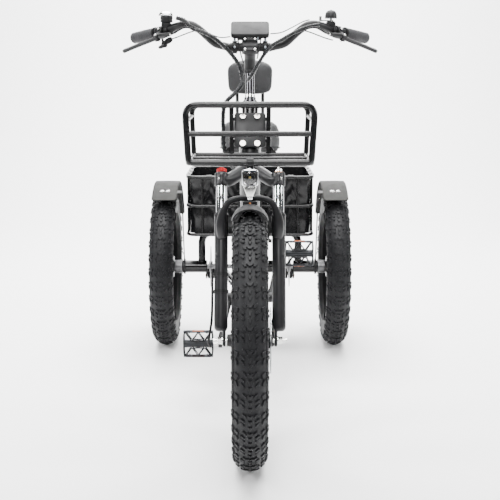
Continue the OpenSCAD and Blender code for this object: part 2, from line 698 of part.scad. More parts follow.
motor_cable_route = [[-103, 0, 190], [-103, 0, 150], [-103, 0, 100], [-104, 2, 60], [-107, 3, 34],
    [-111, 3, 10], [-111, 1, -8], [-104, 0, -18]];
module motor_cable() color("#151617") steering() {
    cord(motor_cable_route, 7, [0, 1, 0.1]);
    translate([-leg_x, 0, 128]) difference() {
        cylinder(d = leg_d + 3.6, h = 12);
        translate([0, 0, -1]) cylinder(d = leg_d + 2 * gap, h = 14);
    }
}

// ---------- wheels, drawn about the X axis through their own middle ----------

module tyre_outline(r, section, grow) {
    mid = r - section;
    translate([mid, 0]) circle(section - grow);
    polygon([[mid, section - grow], [mid - 43, section - 11 - grow], [mid - 43, grow + 11 - section],
        [mid, grow - section]]);
}
module tyre(r, section) about_x() rotate_extrude() difference() {
    tyre_outline(r, section, 0);
    tyre_outline(r, section, 5);
    translate([r - section - 60, -60]) square([18, 120]);
}
// A channel rim with its spokes; each spoke leans the same way on one side of the hub
module rim(seat_r, section, hub_r, hub_half) {
    half = section - 11;
    about_x() rotate_extrude() difference() {
        polygon([[seat_r - 16, half - 8], [seat_r + 8, half + 6], [seat_r + 8, -half - 6], [seat_r - 16, 8 - half]]);
        polygon([[seat_r - 12, half - 8], [seat_r + 1, half + 0.6], [seat_r + 9, half + 3], [seat_r + 9, -half - 3],
            [seat_r + 1, -half - 0.6], [seat_r - 12, 8 - half]]);
    }
    for (k = [0:17], side = [-1, 1]) rotate([20 * k + 5 * side, 0, 0]) {
        lean = 9 * side;
        top = [side * 9, (seat_r - 15.5) * sin(lean), (seat_r - 15.5) * cos(lean)];
        foot = [side * hub_half, -hub_r * sin(lean), hub_r * cos(lean)];
        rod(foot, top, 2.6);
        rod(foot + (top - foot) * 0.93, top, 5);
    }
}

module front_tyre() color("#17181a") translate([0, front_y, front_wheel_r]) tyre(front_wheel_r, front_tyre_r);
module front_rim() color("#101112") translate([0, front_y, front_wheel_r])
    rim(front_rim_r, front_tyre_r, 79, 28);
module front_hub() color("#26282a") translate([0, front_y, front_wheel_r]) about_x() rotate_extrude()
    polygon([[hub_bore / 2 + run, -62], [16, -62], [18, -50], [40, -44], [66, -34], [70, -31], [77, -30],
        [77, -26], [70, -25], [70, 25], [77, 26], [77, 30], [70, 31], [66, 34], [40, 44], [22, 48], [22, 54],
        [16, 54], [16, 62], [hub_bore / 2 + run, 62]]);
module front_rotor() color("#a7aaad") translate([front_rotor_x - 1, front_y, front_wheel_r]) about_x() difference() {
    cylinder(r = 90, h = 2);
    translate([0, 0, -1]) cylinder(r = 16.3, h = 4);
    for (k = [0:5]) rotate([0, 0, 60 * k]) translate([48, 0, -1]) cylinder(r = 17, h = 4);
}

module rear_wheel_at(side) translate([side * rear_track / 2, rear_y, rear_wheel_r]) children();
module rear_tyre(side) color("#17181a") rear_wheel_at(side) tyre(rear_wheel_r, rear_tyre_r);
module rear_rim(side) color("#101112") rear_wheel_at(side) rim(rear_rim_r, rear_tyre_r, 40, 26);

// Rear hub with its half shaft and brake disc, drawn for the rider's left
module rear_hub() translate(rear_axle) {
    middle = rear_track / 2;
    color("#c2c5c8") {
        translate([2, 0, 0]) about_x() cylinder(d = shaft_d, h = middle + 38);
        translate([middle, 0, 0]) about_x() rotate_extrude() polygon([[4, -61], [25.5, -61], [25.5, -36],
            [22, -30], [38, -28], [38, -24], [20, -20], [20, 20], [38, 24], [38, 28], [20, 30], [16, 39], [4, 39]]);
    }
    color("#a7aaad") {
        translate([rotor_x - 1, 0, 0]) about_x() difference() {
            cylinder(r = 80, h = 2);
            for (k = [0:5]) rotate([0, 0, 60 * k]) translate([44, 0, -1]) cylinder(r = 15, h = 4);
        }
        translate([rotor_x - 7, 0, 0]) about_x() cylinder(r = 20, h = 14);
    }
}
module rear_tyre_left() rear_tyre(1);
module rear_tyre_right() rear_tyre(-1);
module rear_rim_left() rear_rim(1);
module rear_rim_right() rear_rim(-1);
module rear_hub_left() rear_hub();
module rear_hub_right() mirror([1, 0, 0]) rear_hub();

// ---------- cranks and pedals ----------

// A crank arm hanging straight forward from the crank axle, drawn for the rider's left
module crank_arm() {
    hull() {
        translate([60, 0, 0]) about_x() cylinder(r = 17, h = 16, $fn = 32);
        translate([78, -60, 0]) about_x() cylinder(r = 12, h = 12, $fn = 32);
    }
    difference() {
        hull() {
            translate([78, -60, 0]) about_x() cylinder(r = 12, h = 12, $fn = 32);
            translate([96, -crank_length, 0]) about_x() cylinder(r = 13, h = 14, $fn = 32);
        }
        translate([90, -crank_length, 0]) about_x() cylinder(d = 14.4, h = 30);
    }
}
module crank_arm_right() color("#1d1e20") translate(bottom_bracket) {
    rotate([crank_angle, 0, 0]) mirror([1, 0, 0]) crank_arm();
    translate([-62, 0, 0]) about_x() cylinder(d = 17, h = 121.7);
    translate([-62, 0, 0]) about_x() cylinder(d = 24, h = 14);
    for (k = [0:4]) rotate([72 * k + 14, 0, 0]) translate([-57, -5, 8]) cube([5.4, 10, 28]);
}
module crank_arm_left() color("#1d1e20") translate(bottom_bracket) rotate([crank_angle + 180, 0, 0]) crank_arm();

// A platform pedal on its axle, drawn for the rider's left, standing on edge
module pedal() {
    about_x() translate([0, 0, 92]) cylinder(d = 14, h = 28);
    about_x() translate([0, 0, 119]) cylinder(d = 22, h = 97);
    difference() {
        translate([122, 0, 0]) rotate([90, 0, 90]) linear_extrude(94)
            polygon([[-13, -26], [-13, 26], [-8, 42], [8, 42], [13, 26], [13, -26], [8, -42], [-8, -42]]);
        for (z = [-26, 26]) translate([169, 0, z]) cube([78, 60, 22], center = true);
        translate([169, 20, 0]) cube([78, 18, 26], center = true);
        translate([169, -20, 0]) cube([78, 18, 26], center = true);
    }
}
module pedal_left() color("#4a4c4f") translate(bottom_bracket + crank_length * [0, cos(crank_angle), sin(crank_angle)])
    pedal();
module pedal_right() color("#4a4c4f")
    translate(bottom_bracket - crank_length * [0, cos(crank_angle), sin(crank_angle)]) mirror([1, 0, 0]) pedal();

// ---------- seat ----------

// Seat post with the saddle's rails and the backrest's two tubes
module seat_post() color("#1a1b1c") {
    seat_axis() translate([0, 0, 180]) cylinder(d = post_d, h = 288);
    translate(at(-24, 800, 742)) cube([48, 60, 26]);
    sides() {
        bent_bar([at(22, 745, 778), at(22, 790, 768), at(22, 880, 768), at(30, 950, 778)], 8);
        bent_bar([at(30, 840, 752), at(46, 900, 756), at(46, 1004, 772), at(46, 1046, 830), at(46, 1080, 1080)], 12);
    }
    translate(at(-36, 834, 746)) cube([72, 14, 12]);
}

module saddle() color("#3a3b3c") hull() {
    sides() translate(at(saddle_w / 2 - 72, 905, 788)) cylinder(r = 72, h = 88, $fn = 40);
    sides() translate(at(saddle_w / 2 - 80, 905, 800)) cylinder(r = 60, h = 104, $fn = 40);
    translate(at(0, 740, 800)) cylinder(r = 34, h = 66, $fn = 40);
    translate(at(0, 745, 800)) cylinder(r = 26, h = 76, $fn = 40);
}

module backrest() color("#2c2d2e") hull() for (x = [-1, 1]) {
    translate(at(x * (backrest_w / 2 - 42), 1070 - 6.4, 1059)) rotate([90, 0, 0]) cylinder(r = 42, h = 44, $fn = 40);
    translate(at(x * (backrest_w / 2 - 22), 1052 - 6.4, 994)) rotate([90, 0, 0]) cylinder(r = 18, h = 40, $fn = 40);
}

main_frame();
rear_subframe();
bearing_cups();
front_rack();
rack_bolts();
headlight();
rear_basket();
basket_liner();
rear_fenders();
fender_hardware();
battery();
controller();
seat_clamp();
chain();
derailleur();
rear_calipers();
fork_crown();
stanchions();
quill();
stem();
handlebar();
grips();
brake_perches();
shifter();
throttle_clamp();
bell();
display();
cable_harness();
lockout_knob();
fork_lowers();
front_caliper();
front_fender();
front_axle();
motor_cable();
front_tyre();
front_rim();
front_hub();
front_rotor();
chainring();
crank_arm_right();
crank_arm_left();
pedal_right();
pedal_left();
rear_tyre_right();
rear_rim_right();
rear_hub_right();
rear_tyre_left();
rear_rim_left();
rear_hub_left();
cassette();
jockey_upper();
jockey_lower();
brake_lever_right();
brake_lever_left();
shift_lever();
throttle_lever();
bell_striker();
seat_post();
saddle();
backrest();
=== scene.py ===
"""Looks for the adult tricycle: front rack, rear basket, fat tyres, padded seat and controls."""
import json
import math
import random

import bmesh
import bpy
from mathutils import Matrix, Vector, noise

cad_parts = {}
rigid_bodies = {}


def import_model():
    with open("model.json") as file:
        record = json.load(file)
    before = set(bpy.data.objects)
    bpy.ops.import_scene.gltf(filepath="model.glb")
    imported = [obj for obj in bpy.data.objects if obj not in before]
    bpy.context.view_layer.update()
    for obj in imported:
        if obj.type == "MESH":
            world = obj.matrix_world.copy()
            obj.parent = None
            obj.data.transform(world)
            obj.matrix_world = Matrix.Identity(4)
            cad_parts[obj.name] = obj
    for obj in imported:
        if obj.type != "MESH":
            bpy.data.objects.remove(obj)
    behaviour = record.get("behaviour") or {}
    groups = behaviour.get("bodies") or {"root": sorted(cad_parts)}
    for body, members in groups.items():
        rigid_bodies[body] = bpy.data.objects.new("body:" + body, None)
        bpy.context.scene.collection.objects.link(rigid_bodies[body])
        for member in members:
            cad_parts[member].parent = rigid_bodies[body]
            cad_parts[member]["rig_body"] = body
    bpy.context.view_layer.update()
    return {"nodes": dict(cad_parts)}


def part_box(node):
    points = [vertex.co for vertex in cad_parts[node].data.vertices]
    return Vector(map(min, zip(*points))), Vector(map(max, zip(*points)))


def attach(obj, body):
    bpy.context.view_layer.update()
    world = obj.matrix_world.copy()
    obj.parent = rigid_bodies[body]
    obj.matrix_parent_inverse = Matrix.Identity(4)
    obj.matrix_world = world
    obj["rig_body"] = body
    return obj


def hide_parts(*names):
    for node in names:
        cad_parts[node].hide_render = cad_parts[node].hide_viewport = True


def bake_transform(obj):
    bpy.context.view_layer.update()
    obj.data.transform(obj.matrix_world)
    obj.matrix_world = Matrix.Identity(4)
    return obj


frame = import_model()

MM = 0.001
NODES = frame["nodes"]

# ---------- places, in millimetres ----------

axle_low, axle_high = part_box("front_axle")
FRONT_Y = (axle_low.y + axle_high.y) / 2 / MM
FRONT_R = 347
REAR_R = 306
WHEELBASE = 1250
REAR_Y = FRONT_Y + WHEELBASE
TRACK_X = 327
LEAN = math.radians(20)
X, Y, Z = Vector((1, 0, 0)), Vector((0, 1, 0)), Vector((0, 0, 1))


def at(x, d, z):
    """A point x to the rider's left, d behind the front axle and z above the floor."""
    return Vector((x, FRONT_Y + d, z))


def turned(*angles):
    """Rotation about X, then Y, then Z, in degrees."""
    a, b, c = (math.radians(v) for v in angles)
    return Matrix.Rotation(c, 4, "Z") @ Matrix.Rotation(b, 4, "Y") @ Matrix.Rotation(a, 4, "X")


def moved(*p):
    return Matrix.Translation(Vector(p[0] if len(p) == 1 else p))


HERE = Matrix.Identity(4)
FLIP = Matrix.Scale(-1, 4, X)
STEER = moved(at(0, 0, FRONT_R)) @ Matrix.Rotation(-LEAN, 4, "X")
BB = at(0, 663, 315)
SEAT = moved(BB) @ Matrix.Rotation(-LEAN, 4, "X")
KNEE = at(250, 322, 1177)
BAR = moved(KNEE) @ turned(0, 7.4, 43.9) @ turned(37, 0, 0)
BAR_R = FLIP @ BAR
GRIP_AXIS = Vector((0.7145, 0.6877, -0.1288))
AXLE_F = moved(at(0, 0, FRONT_R))
AXLE_R = moved(at(0, WHEELBASE, REAR_R))
CRANK_ANGLE = math.radians(50)
CRANK_STEP = 170 * Vector((0, math.cos(CRANK_ANGLE), math.sin(CRANK_ANGLE)))
LEG_X = 79
BOTH = (HERE, FLIP)

# ---------- mesh tools ----------


class Shape:
    """A mesh drawn in millimetres from swept, turned and cut pieces."""

    def __init__(self):
        self.points, self.faces = [], []

    def add(self, points, faces, place=HERE):
        base = len(self.points)
        self.points += [place @ Vector(p) for p in points]
        flip = place.determinant() < 0
        self.faces += [[base + i for i in (reversed(f) if flip else f)] for f in faces]
        return self

    def sweep(self, path, radius, place=HERE, sides=16, closed=False, flat=1.0, up=None, power=1.0):
        """A round, or flattened, section drawn along a path. radius may be one value for each point."""
        path = [Vector(p) for p in path]
        count = len(path)
        radii = radius if hasattr(radius, "__len__") else [radius] * count
        ahead = []
        for i in range(count):
            before = path[i - 1] if closed or i else path[0]
            after = path[(i + 1) % count] if closed or i < count - 1 else path[-1]
            ahead.append((after - before).normalized())
        side = (Vector(up) if up else ahead[0].orthogonal()).cross(ahead[0]).normalized()
        sides_at = []
        for i, a in enumerate(ahead):
            if up:
                side = Vector(up).cross(a).normalized()
            else:
                side = (side - a * side.dot(a)).normalized()
            sides_at.append(side.copy())
        twist = 0
        if closed and not up:
            last = (sides_at[-1] - ahead[0] * sides_at[-1].dot(ahead[0])).normalized()
            twist = math.atan2(last.cross(sides_at[0]).dot(ahead[0]), last.dot(sides_at[0]))
        points = []
        for i in range(count):
            across = sides_at[i]
            tall = ahead[i].cross(across)
            for k in range(sides):
                a = 2 * math.pi * k / sides + twist * i / count
                c, s = math.cos(a), math.sin(a)
                c, s = math.copysign(abs(c) ** power, c), math.copysign(abs(s) ** power, s)
                points.append(path[i] + radii[i] * (c * across + s * flat * tall))
        faces = []
        for i in range(count if closed else count - 1):
            j = (i + 1) % count
            for k in range(sides):
                n = (k + 1) % sides
                faces.append([i * sides + k, i * sides + n, j * sides + n, j * sides + k])
        if not closed:
            faces.append(list(reversed(range(sides))))
            faces.append([(count - 1) * sides + k for k in range(sides)])
        return self.add(points, faces, place)

    def rod(self, a, b, radius, place=HERE, sides=16, soft=0.6):
        """A straight bar with its ends eased."""
        a, b = Vector(a), Vector(b)
        step = (b - a).normalized()
        ease = min(soft, radius * 0.4)
        path = [a, a + step * ease, b - step * ease, b]
        return self.sweep(path, [radius - ease, radius, radius, radius - ease], place, sides)

    def turn(self, outline, place=HERE, segments=64, closed=True):
        """An outline of (x, radius) points turned about X."""
        count = len(outline)
        points = []
        for k in range(segments):
            a = 2 * math.pi * k / segments
            points += [(x, r * math.sin(a), r * math.cos(a)) for x, r in outline]
        faces = []
        for k in range(segments):
            n = (k + 1) % segments
            for i in range(count if closed else count - 1):
                j = (i + 1) % count
                faces.append([k * count + i, n * count + i, n * count + j, k * count + j])
        if not closed:
            faces.append([k * count for k in reversed(range(segments))])
            faces.append([k * count + count - 1 for k in range(segments)])
        return self.add(points, faces, place)

    def from_bmesh(self, bm, place):
        bm.verts.ensure_lookup_table()
        bmesh.ops.recalc_face_normals(bm, faces=bm.faces)
        bm.verts.index_update()
        self.add([v.co for v in bm.verts], [[v.index for v in f.verts] for f in bm.faces], place)
        bm.free()
        return self

    def block(self, low, high, bevel=1.0, place=HERE, steps=2):
        low, high = Vector(low), Vector(high)
        size = high - low
        bm = bmesh.new()
        bmesh.ops.create_cube(bm, size=1, matrix=moved((low + high) / 2) @ Matrix.Diagonal((*size, 1)))
        bmesh.ops.bevel(bm, geom=bm.edges[:], offset=min(bevel, min(size) * 0.45), segments=steps,
                        affect="EDGES", profile=0.5)
        return self.from_bmesh(bm, place)

    def plate(self, outline, low, high, bevel=0.8, place=HERE, steps=2):
        """A flat outline in X and Y, from z low to z high, with its rims eased."""
        bm = bmesh.new()
        face = bm.faces.new([bm.verts.new((p[0], p[1], low)) for p in outline])
        made = bmesh.ops.extrude_face_region(bm, geom=[face])["geom"]
        bmesh.ops.translate(bm, vec=(0, 0, high - low),
                            verts=[g for g in made if isinstance(g, bmesh.types.BMVert)])
        rims = [e for e in bm.edges if abs(e.verts[0].co.z - e.verts[1].co.z) < 1e-6]
        if bevel:
            bmesh.ops.bevel(bm, geom=rims, offset=bevel, segments=steps, affect="EDGES", profile=0.5)
        return self.from_bmesh(bm, place)

    def ball(self, centre, radius, place=HERE, squeeze=(1, 1, 1)):
        bm = bmesh.new()
        bmesh.ops.create_uvsphere(bm, u_segments=20, v_segments=12, radius=radius)
        return self.from_bmesh(bm, place @ moved(centre) @ Matrix.Diagonal((*squeeze, 1)))

    def bolt(self, head, radius, height, place, socket=0.5):
        """A button-head screw standing along +X; socket sets the radius of its flat top."""
        outline = [(0, radius), (height * 0.35, radius), (height * 0.8, radius * 0.8),
                   (height, radius * socket)]
        self.turn(outline + [(height, 0.01)], place @ moved(head), 24, closed=False)
        return self


def rounded(points, radius, steps=5, closed=False):
    """The path through the points with each corner eased to an arc."""
    points = [Vector(p) for p in points]
    count = len(points)
    path = [] if closed else [points[0]]
    for i in range(0 if closed else 1, count if closed else count - 1):
        a, b, c = points[i - 1], points[i], points[(i + 1) % count]
        r = min(radius, (a - b).length * 0.48, (c - b).length * 0.48)
        p, q = b + (a - b).normalized() * r, b + (c - b).normalized() * r
        for k in range(steps + 1):
            t = k / steps
            path.append(p * (1 - t) ** 2 + b * 2 * t * (1 - t) + q * t * t)
    return path if closed else path + [points[-1]]


def curve(points, steps=6):
    """A smooth curve through the points."""
    points = [Vector(p) for p in points]
    last = len(points) - 1
    path = []
    for i in range(last):
        p, q, r, s = (points[max(i - 1, 0)], points[i], points[i + 1], points[min(i + 2, last)])
        for k in range(steps):
            t = k / steps
            path.append(0.5 * (2 * q + (r - p) * t + (2 * p - 5 * q + 4 * r - s) * t * t
                               + (3 * q - p - 3 * r + s) * t ** 3))
    return path + [points[-1]]


def arc(centre, radius, start, end, steps=12):
    """Points of an arc, in degrees, as (x, y) pairs."""
    angles = [math.radians(start + (end - start) * k / steps) for k in range(steps + 1)]
    return [(centre[0] + radius * math.cos(a), centre[1] + radius * math.sin(a)) for a in angles]


def round_box(w, h, r, steps=5):
    """A rectangle's outline with round corners, about its middle."""
    outline = []
    for k, (sx, sy) in enumerate(((1, 1), (-1, 1), (-1, -1), (1, -1))):
        outline += arc((sx * (w / 2 - r), sy * (h / 2 - r)), r, 90 * k, 90 * k + 90, steps)
    return outline


def applied(piece):
    """Applies the piece's modifiers to its mesh."""
    made = bpy.data.meshes.new_from_object(piece.evaluated_get(bpy.context.evaluated_depsgraph_get()))
    piece.modifiers.clear()
    piece.data = made
    return piece


def shaded(mesh, angle):
    mesh.shade_smooth()
    mesh.set_sharp_from_angle(angle=math.radians(angle))


def make(name, shape, body, paint, replaces=(), angle=38, voxel=None, smooth=4):
    """Turns a shape into a piece that rides on a body. voxel fuses it into one cast form."""
    mesh = bpy.data.meshes.new(name)
    mesh.from_pydata([p * MM for p in shape.points], [], shape.faces)
    mesh.validate()
    piece = bpy.data.objects.new(name, mesh)
    bpy.context.scene.collection.objects.link(piece)
    if voxel:
        fuse = piece.modifiers.new("fuse", "REMESH")
        fuse.mode = "VOXEL"
        fuse.voxel_size = voxel * MM
        ease = piece.modifiers.new("ease", "SMOOTH")
        ease.iterations = smooth
        ease.factor = 0.5
        applied(piece)
        angle = 180
    shaded(piece.data, angle)
    piece.data.materials.clear()
    piece.data.materials.append(paint)
    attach(piece, body)
    if replaces:
        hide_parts(*replaces)
    return piece


# ---------- materials ----------


class Paint:
    """A node material: a shader whose colour, roughness and relief vary over the surface."""

    def __init__(self, name, colour, rough, metal=0.0, coat=0.0, **more):
        self.material = bpy.data.materials.new(name)
        self.material.use_nodes = True
        self.tree = self.material.node_tree
        self.shader = self.tree.nodes["Principled BSDF"]
        self.colour, self.rough = colour, rough
        self.shader.inputs["Base Color"].default_value = (*colour, 1)
        self.shader.inputs["Roughness"].default_value = rough
        self.shader.inputs["Metallic"].default_value = metal
        self.shader.inputs["Coat Weight"].default_value = coat
        self.shader.inputs["Coat Roughness"].default_value = 0.08
        for key, value in more.items():
            self.shader.inputs[key.replace("_", " ")].default_value = value
        self.coordinates = self.node("ShaderNodeTexCoord").outputs["Object"]
        self.relief = None

    def node(self, kind, **settings):
        made = self.tree.nodes.new(kind)
        for key, value in settings.items():
            setattr(made, key, value)
        return made

    def link(self, source, target):
        self.tree.links.new(source, target)

    def stretched(self, scale):
        mapping = self.node("ShaderNodeMapping")
        mapping.inputs["Scale"].default_value = scale
        self.link(self.coordinates, mapping.inputs["Vector"])
        return mapping.outputs["Vector"]

    def noise(self, size, detail=3.0, stretch=(1, 1, 1), distort=0.0):
        """Soft noise whose blotches are about size millimetres across."""
        made = self.node("ShaderNodeTexNoise")
        made.inputs["Scale"].default_value = 1 / (size * MM)
        made.inputs["Detail"].default_value = detail
        made.inputs["Distortion"].default_value = distort
        self.link(self.stretched(stretch), made.inputs["Vector"])
        return made.outputs["Fac"]

    def cells(self, size, stretch=(1, 1, 1), feature="F1"):
        made = self.node("ShaderNodeTexVoronoi", feature=feature)
        made.inputs["Scale"].default_value = 1 / (size * MM)
        self.link(self.stretched(stretch), made.inputs["Vector"])
        return made.outputs["Distance"]

    def ramp(self, value, low, high, out_low=0.0, out_high=1.0):
        made = self.node("ShaderNodeMapRange")
        for key, number in (("From Min", low), ("From Max", high), ("To Min", out_low), ("To Max", out_high)):
            made.inputs[key].default_value = number
        self.link(value, made.inputs["Value"])
        return made.outputs["Result"]

    def tint(self, value, other, target="Base Color"):
        """Mixes another colour into the base by a value between 0 and 1."""
        mix = self.node("ShaderNodeMix", data_type="RGBA")
        socket = self.shader.inputs[target]
        if socket.is_linked:
            self.link(socket.links[0].from_socket, mix.inputs["A"])
        else:
            mix.inputs["A"].default_value = socket.default_value
        mix.inputs["B"].default_value = (*other, 1)
        self.link(value, mix.inputs["Factor"])
        self.link(mix.outputs["Result"], socket)
        return self

    def vary(self, size, spread, stretch=(1, 1, 1)):
        """Roughness that wanders by spread either way."""
        value = self.ramp(self.noise(size, 4, stretch), 0.3, 0.7, max(self.rough - spread, 0.02),
                          self.rough + spread)
        self.link(value, self.shader.inputs["Roughness"])
        return self

    def bump(self, value, depth, strength=0.5):
        """Relief of about depth millimetres."""
        made = self.node("ShaderNodeBump")
        made.inputs["Strength"].default_value = strength
        made.inputs["Distance"].default_value = depth * MM
        self.link(value, made.inputs["Height"])
        if self.relief:
            self.link(self.relief, made.inputs["Normal"])
        self.relief = made.outputs["Normal"]
        self.link(self.relief, self.shader.inputs["Normal"])
        return self

    def dust(self, amount, colour=(0.32, 0.31, 0.29)):
        """Light dust that settles on what faces up, in blotches."""
        normal = self.node("ShaderNodeNewGeometry").outputs["Normal"]
        parts = self.node("ShaderNodeSeparateXYZ")
        self.link(normal, parts.inputs["Vector"])
        upward = self.ramp(parts.outputs["Z"], 0.3, 1.0, 0.0, amount)
        both = self.node("ShaderNodeMath", operation="MULTIPLY")
        self.link(upward, both.inputs[0])
        self.link(self.ramp(self.noise(30, 5), 0.35, 0.75), both.inputs[1])
        return self.tint(both.outputs["Value"], colour)


def gloss_black(name, colour=(0.0032, 0.0032, 0.0036), rough=0.2):
    paint = Paint(name, colour, rough, Specular_IOR_Level=0.3)
    paint.vary(45, 0.04).bump(paint.noise(9, 2), 0.03, 0.2)
    return paint.dust(0.004).material


def satin(name, colour, rough=0.42, grain=0.7, depth=0.04, coat=0.0, metal=0.0, shine=0.24):
    paint = Paint(name, colour, rough, metal=metal, coat=coat, Specular_IOR_Level=shine)
    paint.vary(30, 0.07).bump(paint.noise(grain, 3), depth, 0.5)
    paint.tint(paint.ramp(paint.noise(60, 4), 0.45, 0.8, 0, 0.25), tuple(c * 1.4 for c in colour))
    return paint.dust(0.005).material


def metal(name, colour, rough, brush=(1, 1, 1), depth=0.015):
    paint = Paint(name, colour, rough, metal=1.0)
    paint.vary(6, rough * 0.35, brush).bump(paint.noise(0.5, 2, brush), depth, 0.3)
    paint.tint(paint.ramp(paint.noise(14, 5), 0.5, 0.85, 0, 0.35), tuple(c * 0.6 for c in colour))
    return paint.material


def rubber(name, colour=(0.0055, 0.0057, 0.0066), rough=0.6):
    paint = Paint(name, colour, rough, Specular_IOR_Level=0.2)
    paint.vary(22, 0.1).bump(paint.noise(1.1, 4), 0.12, 0.5)
    paint.tint(paint.ramp(paint.noise(70, 5), 0.48, 0.78, 0, 0.3), (0.009, 0.009, 0.0095))
    return paint.dust(0.006).material


def moulded(name, colour=(0.0055, 0.0055, 0.006), rough=0.48, grain=0.6):
    paint = Paint(name, colour, rough, Specular_IOR_Level=0.22)
    paint.vary(18, 0.08).bump(paint.cells(grain), 0.06, 0.35)
    return paint.dust(0.005).material


def vinyl(name):
    """Glossy black vinyl-coated cloth: a fine weave under the coat, and soft creases."""
    paint = Paint(name, (0.0032, 0.0032, 0.0036), 0.24, Specular_IOR_Level=0.32)
    weave = paint.node("ShaderNodeTexWave", wave_type="BANDS", bands_direction="DIAGONAL")
    weave.inputs["Scale"].default_value = 260
    weave.inputs["Distortion"].default_value = 0.6
    paint.link(paint.coordinates, weave.inputs["Vector"])
    paint.vary(60, 0.05).bump(weave.outputs["Fac"], 0.04, 0.25)
    paint.bump(paint.noise(60, 2, (1, 1, 0.6), 1.0), 0.5, 0.18)
    return paint.dust(0.004).material


def seat_skin(name, colour, weave=2.4):
    """Grained synthetic leather: pebbles in the skin, with painted shade darkening the hollows between them.
    """
    paint = Paint(name, colour, 0.52, Specular_IOR_Level=0.25, Sheen_Weight=0.05)
    pebbles = paint.cells(weave, feature="DISTANCE_TO_EDGE")
    height = paint.ramp(pebbles, 0.0, 0.35)
    paint.vary(15, 0.08).bump(height, 0.35, 0.6)
    paint.bump(paint.noise(0.5, 2), 0.05, 0.4)
    # painted shade: the hollows between the pebbles are darkened, so the pebble tops read lighter
    paint.tint(paint.ramp(height, 0.0, 1.0, 0.35, 0.0), tuple(c * 0.45 for c in colour))
    paint.tint(paint.ramp(paint.noise(55, 5), 0.45, 0.8, 0, 0.35), tuple(c * 1.4 for c in colour))
    return paint.dust(0.006).material


def clear(name, colour=(0.95, 0.96, 0.97), rough=0.06):
    paint = Paint(name, colour, rough, Transmission_Weight=1.0, IOR=1.46)
    return paint.vary(12, 0.03).bump(paint.noise(7, 2), 0.04, 0.3).material


FRAME_BLACK = gloss_black("frame gloss black")
RACK_BLACK = gloss_black("rack gloss black", (0.004, 0.004, 0.0043), 0.26)
SATIN_BLACK = satin("satin black", (0.008, 0.008, 0.0086), 0.42)
FORK_GREY = satin("fork satin", (0.0105, 0.0105, 0.0115), 0.38, coat=0.1)
FENDER_GREY = satin("fender satin", (0.02, 0.02, 0.0185), 0.62, grain=0.9, shine=0.1)
PLASTIC = moulded("black plastic")
CHROME = metal("chrome", (0.83, 0.84, 0.86), 0.07)
BOLT = metal("bolt steel", (0.72, 0.72, 0.7), 0.22)
STEEL = metal("brushed steel", (0.56, 0.57, 0.58), 0.3, (1, 9, 9), 0.03)
HUB_ALLOY = metal("hub alloy", (0.2, 0.2, 0.205), 0.36, (0.4, 6, 6), 0.02)
PEDAL_ALLOY = metal("pedal alloy", (0.028, 0.029, 0.031), 0.42, (1, 1, 1), 0.05)
BRASS = metal("copper washer", (0.72, 0.36, 0.16), 0.3)
CHAIN_STEEL = metal("chain steel", (0.17, 0.16, 0.15), 0.38)
BRACKET_GREY = metal("bracket grey", (0.3, 0.33, 0.36), 0.36)
TYRE = rubber("tyre rubber")
GRIP = rubber("grip rubber", (0.035, 0.035, 0.037), 0.66)
CABLE = moulded("cable jacket", (0.005, 0.005, 0.0055), 0.34, 0.9)
WRAP = moulded("spiral wrap", (0.011, 0.0115, 0.0125), 0.28, 0.8)
VINYL = vinyl("liner vinyl")
SADDLE_SKIN = seat_skin("saddle skin", (0.03, 0.0305, 0.031))
BACK_SKIN = seat_skin("backrest skin", (0.02, 0.02, 0.021), 2.0)
RED = satin("red anodised", (0.36, 0.012, 0.014), 0.3, metal=0.35)
LENS = clear("clear lens")
DOME = clear("indicator dome", (0.9, 0.91, 0.92), 0.12)
AMBER = Paint("amber reflector", (0.34, 0.07, 0.01), 0.2, coat=0.4)
AMBER = AMBER.bump(AMBER.cells(2.2), 0.3, 0.8).vary(8, 0.05).material
SCREEN = Paint("screen glass", (0.006, 0.007, 0.009), 0.08, coat=0.8)
SCREEN = SCREEN.vary(25, 0.03).bump(SCREEN.noise(30, 2), 0.02, 0.2).material
GLOW = Paint("lamp chip", (0.9, 0.66, 0.12), 0.35)
GLOW = GLOW.vary(3, 0.1).bump(GLOW.noise(0.8, 2), 0.05, 0.4).material
MIRROR = metal("reflector bowl", (0.88, 0.9, 0.92), 0.1)


def keep(paint, *nodes):
    """Gives carried-over CAD parts their finish."""
    for node in nodes:
        mesh = NODES[node].data
        mesh.materials.clear()
        mesh.materials.append(paint)
        shaded(mesh, 30)


keep(FRAME_BLACK, "main_frame")
keep(SATIN_BLACK, "bearing_cups", "seat_clamp", "throttle_clamp", "chainring", "front_hub")
keep(satin("rim satin", (0.004, 0.004, 0.0044), 0.7, shine=0.04), "front_rim", "rear_rim_left",
     "rear_rim_right")
keep(CHROME, "stanchions")
keep(metal("black chrome", (0.05, 0.05, 0.054), 0.16), "quill")
keep(metal("rack screw steel", (0.4, 0.385, 0.36), 0.2), "rack_bolts")
keep(BOLT, "front_axle", "bell_striker")
keep(STEEL, "front_rotor", "cassette")
keep(HUB_ALLOY, "rear_hub_left", "rear_hub_right")
keep(PLASTIC, "jockey_upper", "jockey_lower")
keep(satin("derailleur alloy", (0.07, 0.073, 0.078), 0.4, metal=0.6), "derailleur")
keep(RED, "lockout_knob")

# ---------- tyres ----------

TREAD_STEP = 56
KNOB_HEIGHT = 4.2
# Half the tread's pattern: each knob is an outline of (across, along) points, off the middle line
SIDE_KNOBS = (
    [(9, 22), (17, 30), (20, 30), (20, 26), (13, 16), (9, 16)],
    [(14, 8), (23, 14), (27, 13), (27, 9), (18, 2), (14, 3)],
    [(14, -7), (22, 4), (26, 3), (26, -2), (19, -12), (15, -12)],
    [(32, 20), (43, 26), (46, 22), (45, 14), (34, 9)],
    [(35, -2), (40, 6), (46, 5), (45, -7), (38, -12), (34, -9)],
    [(50, 4), (64, 10), (65, 2), (53, -7)],
    [(52, 24), (65, 22), (63, 14), (51, 15)],
)
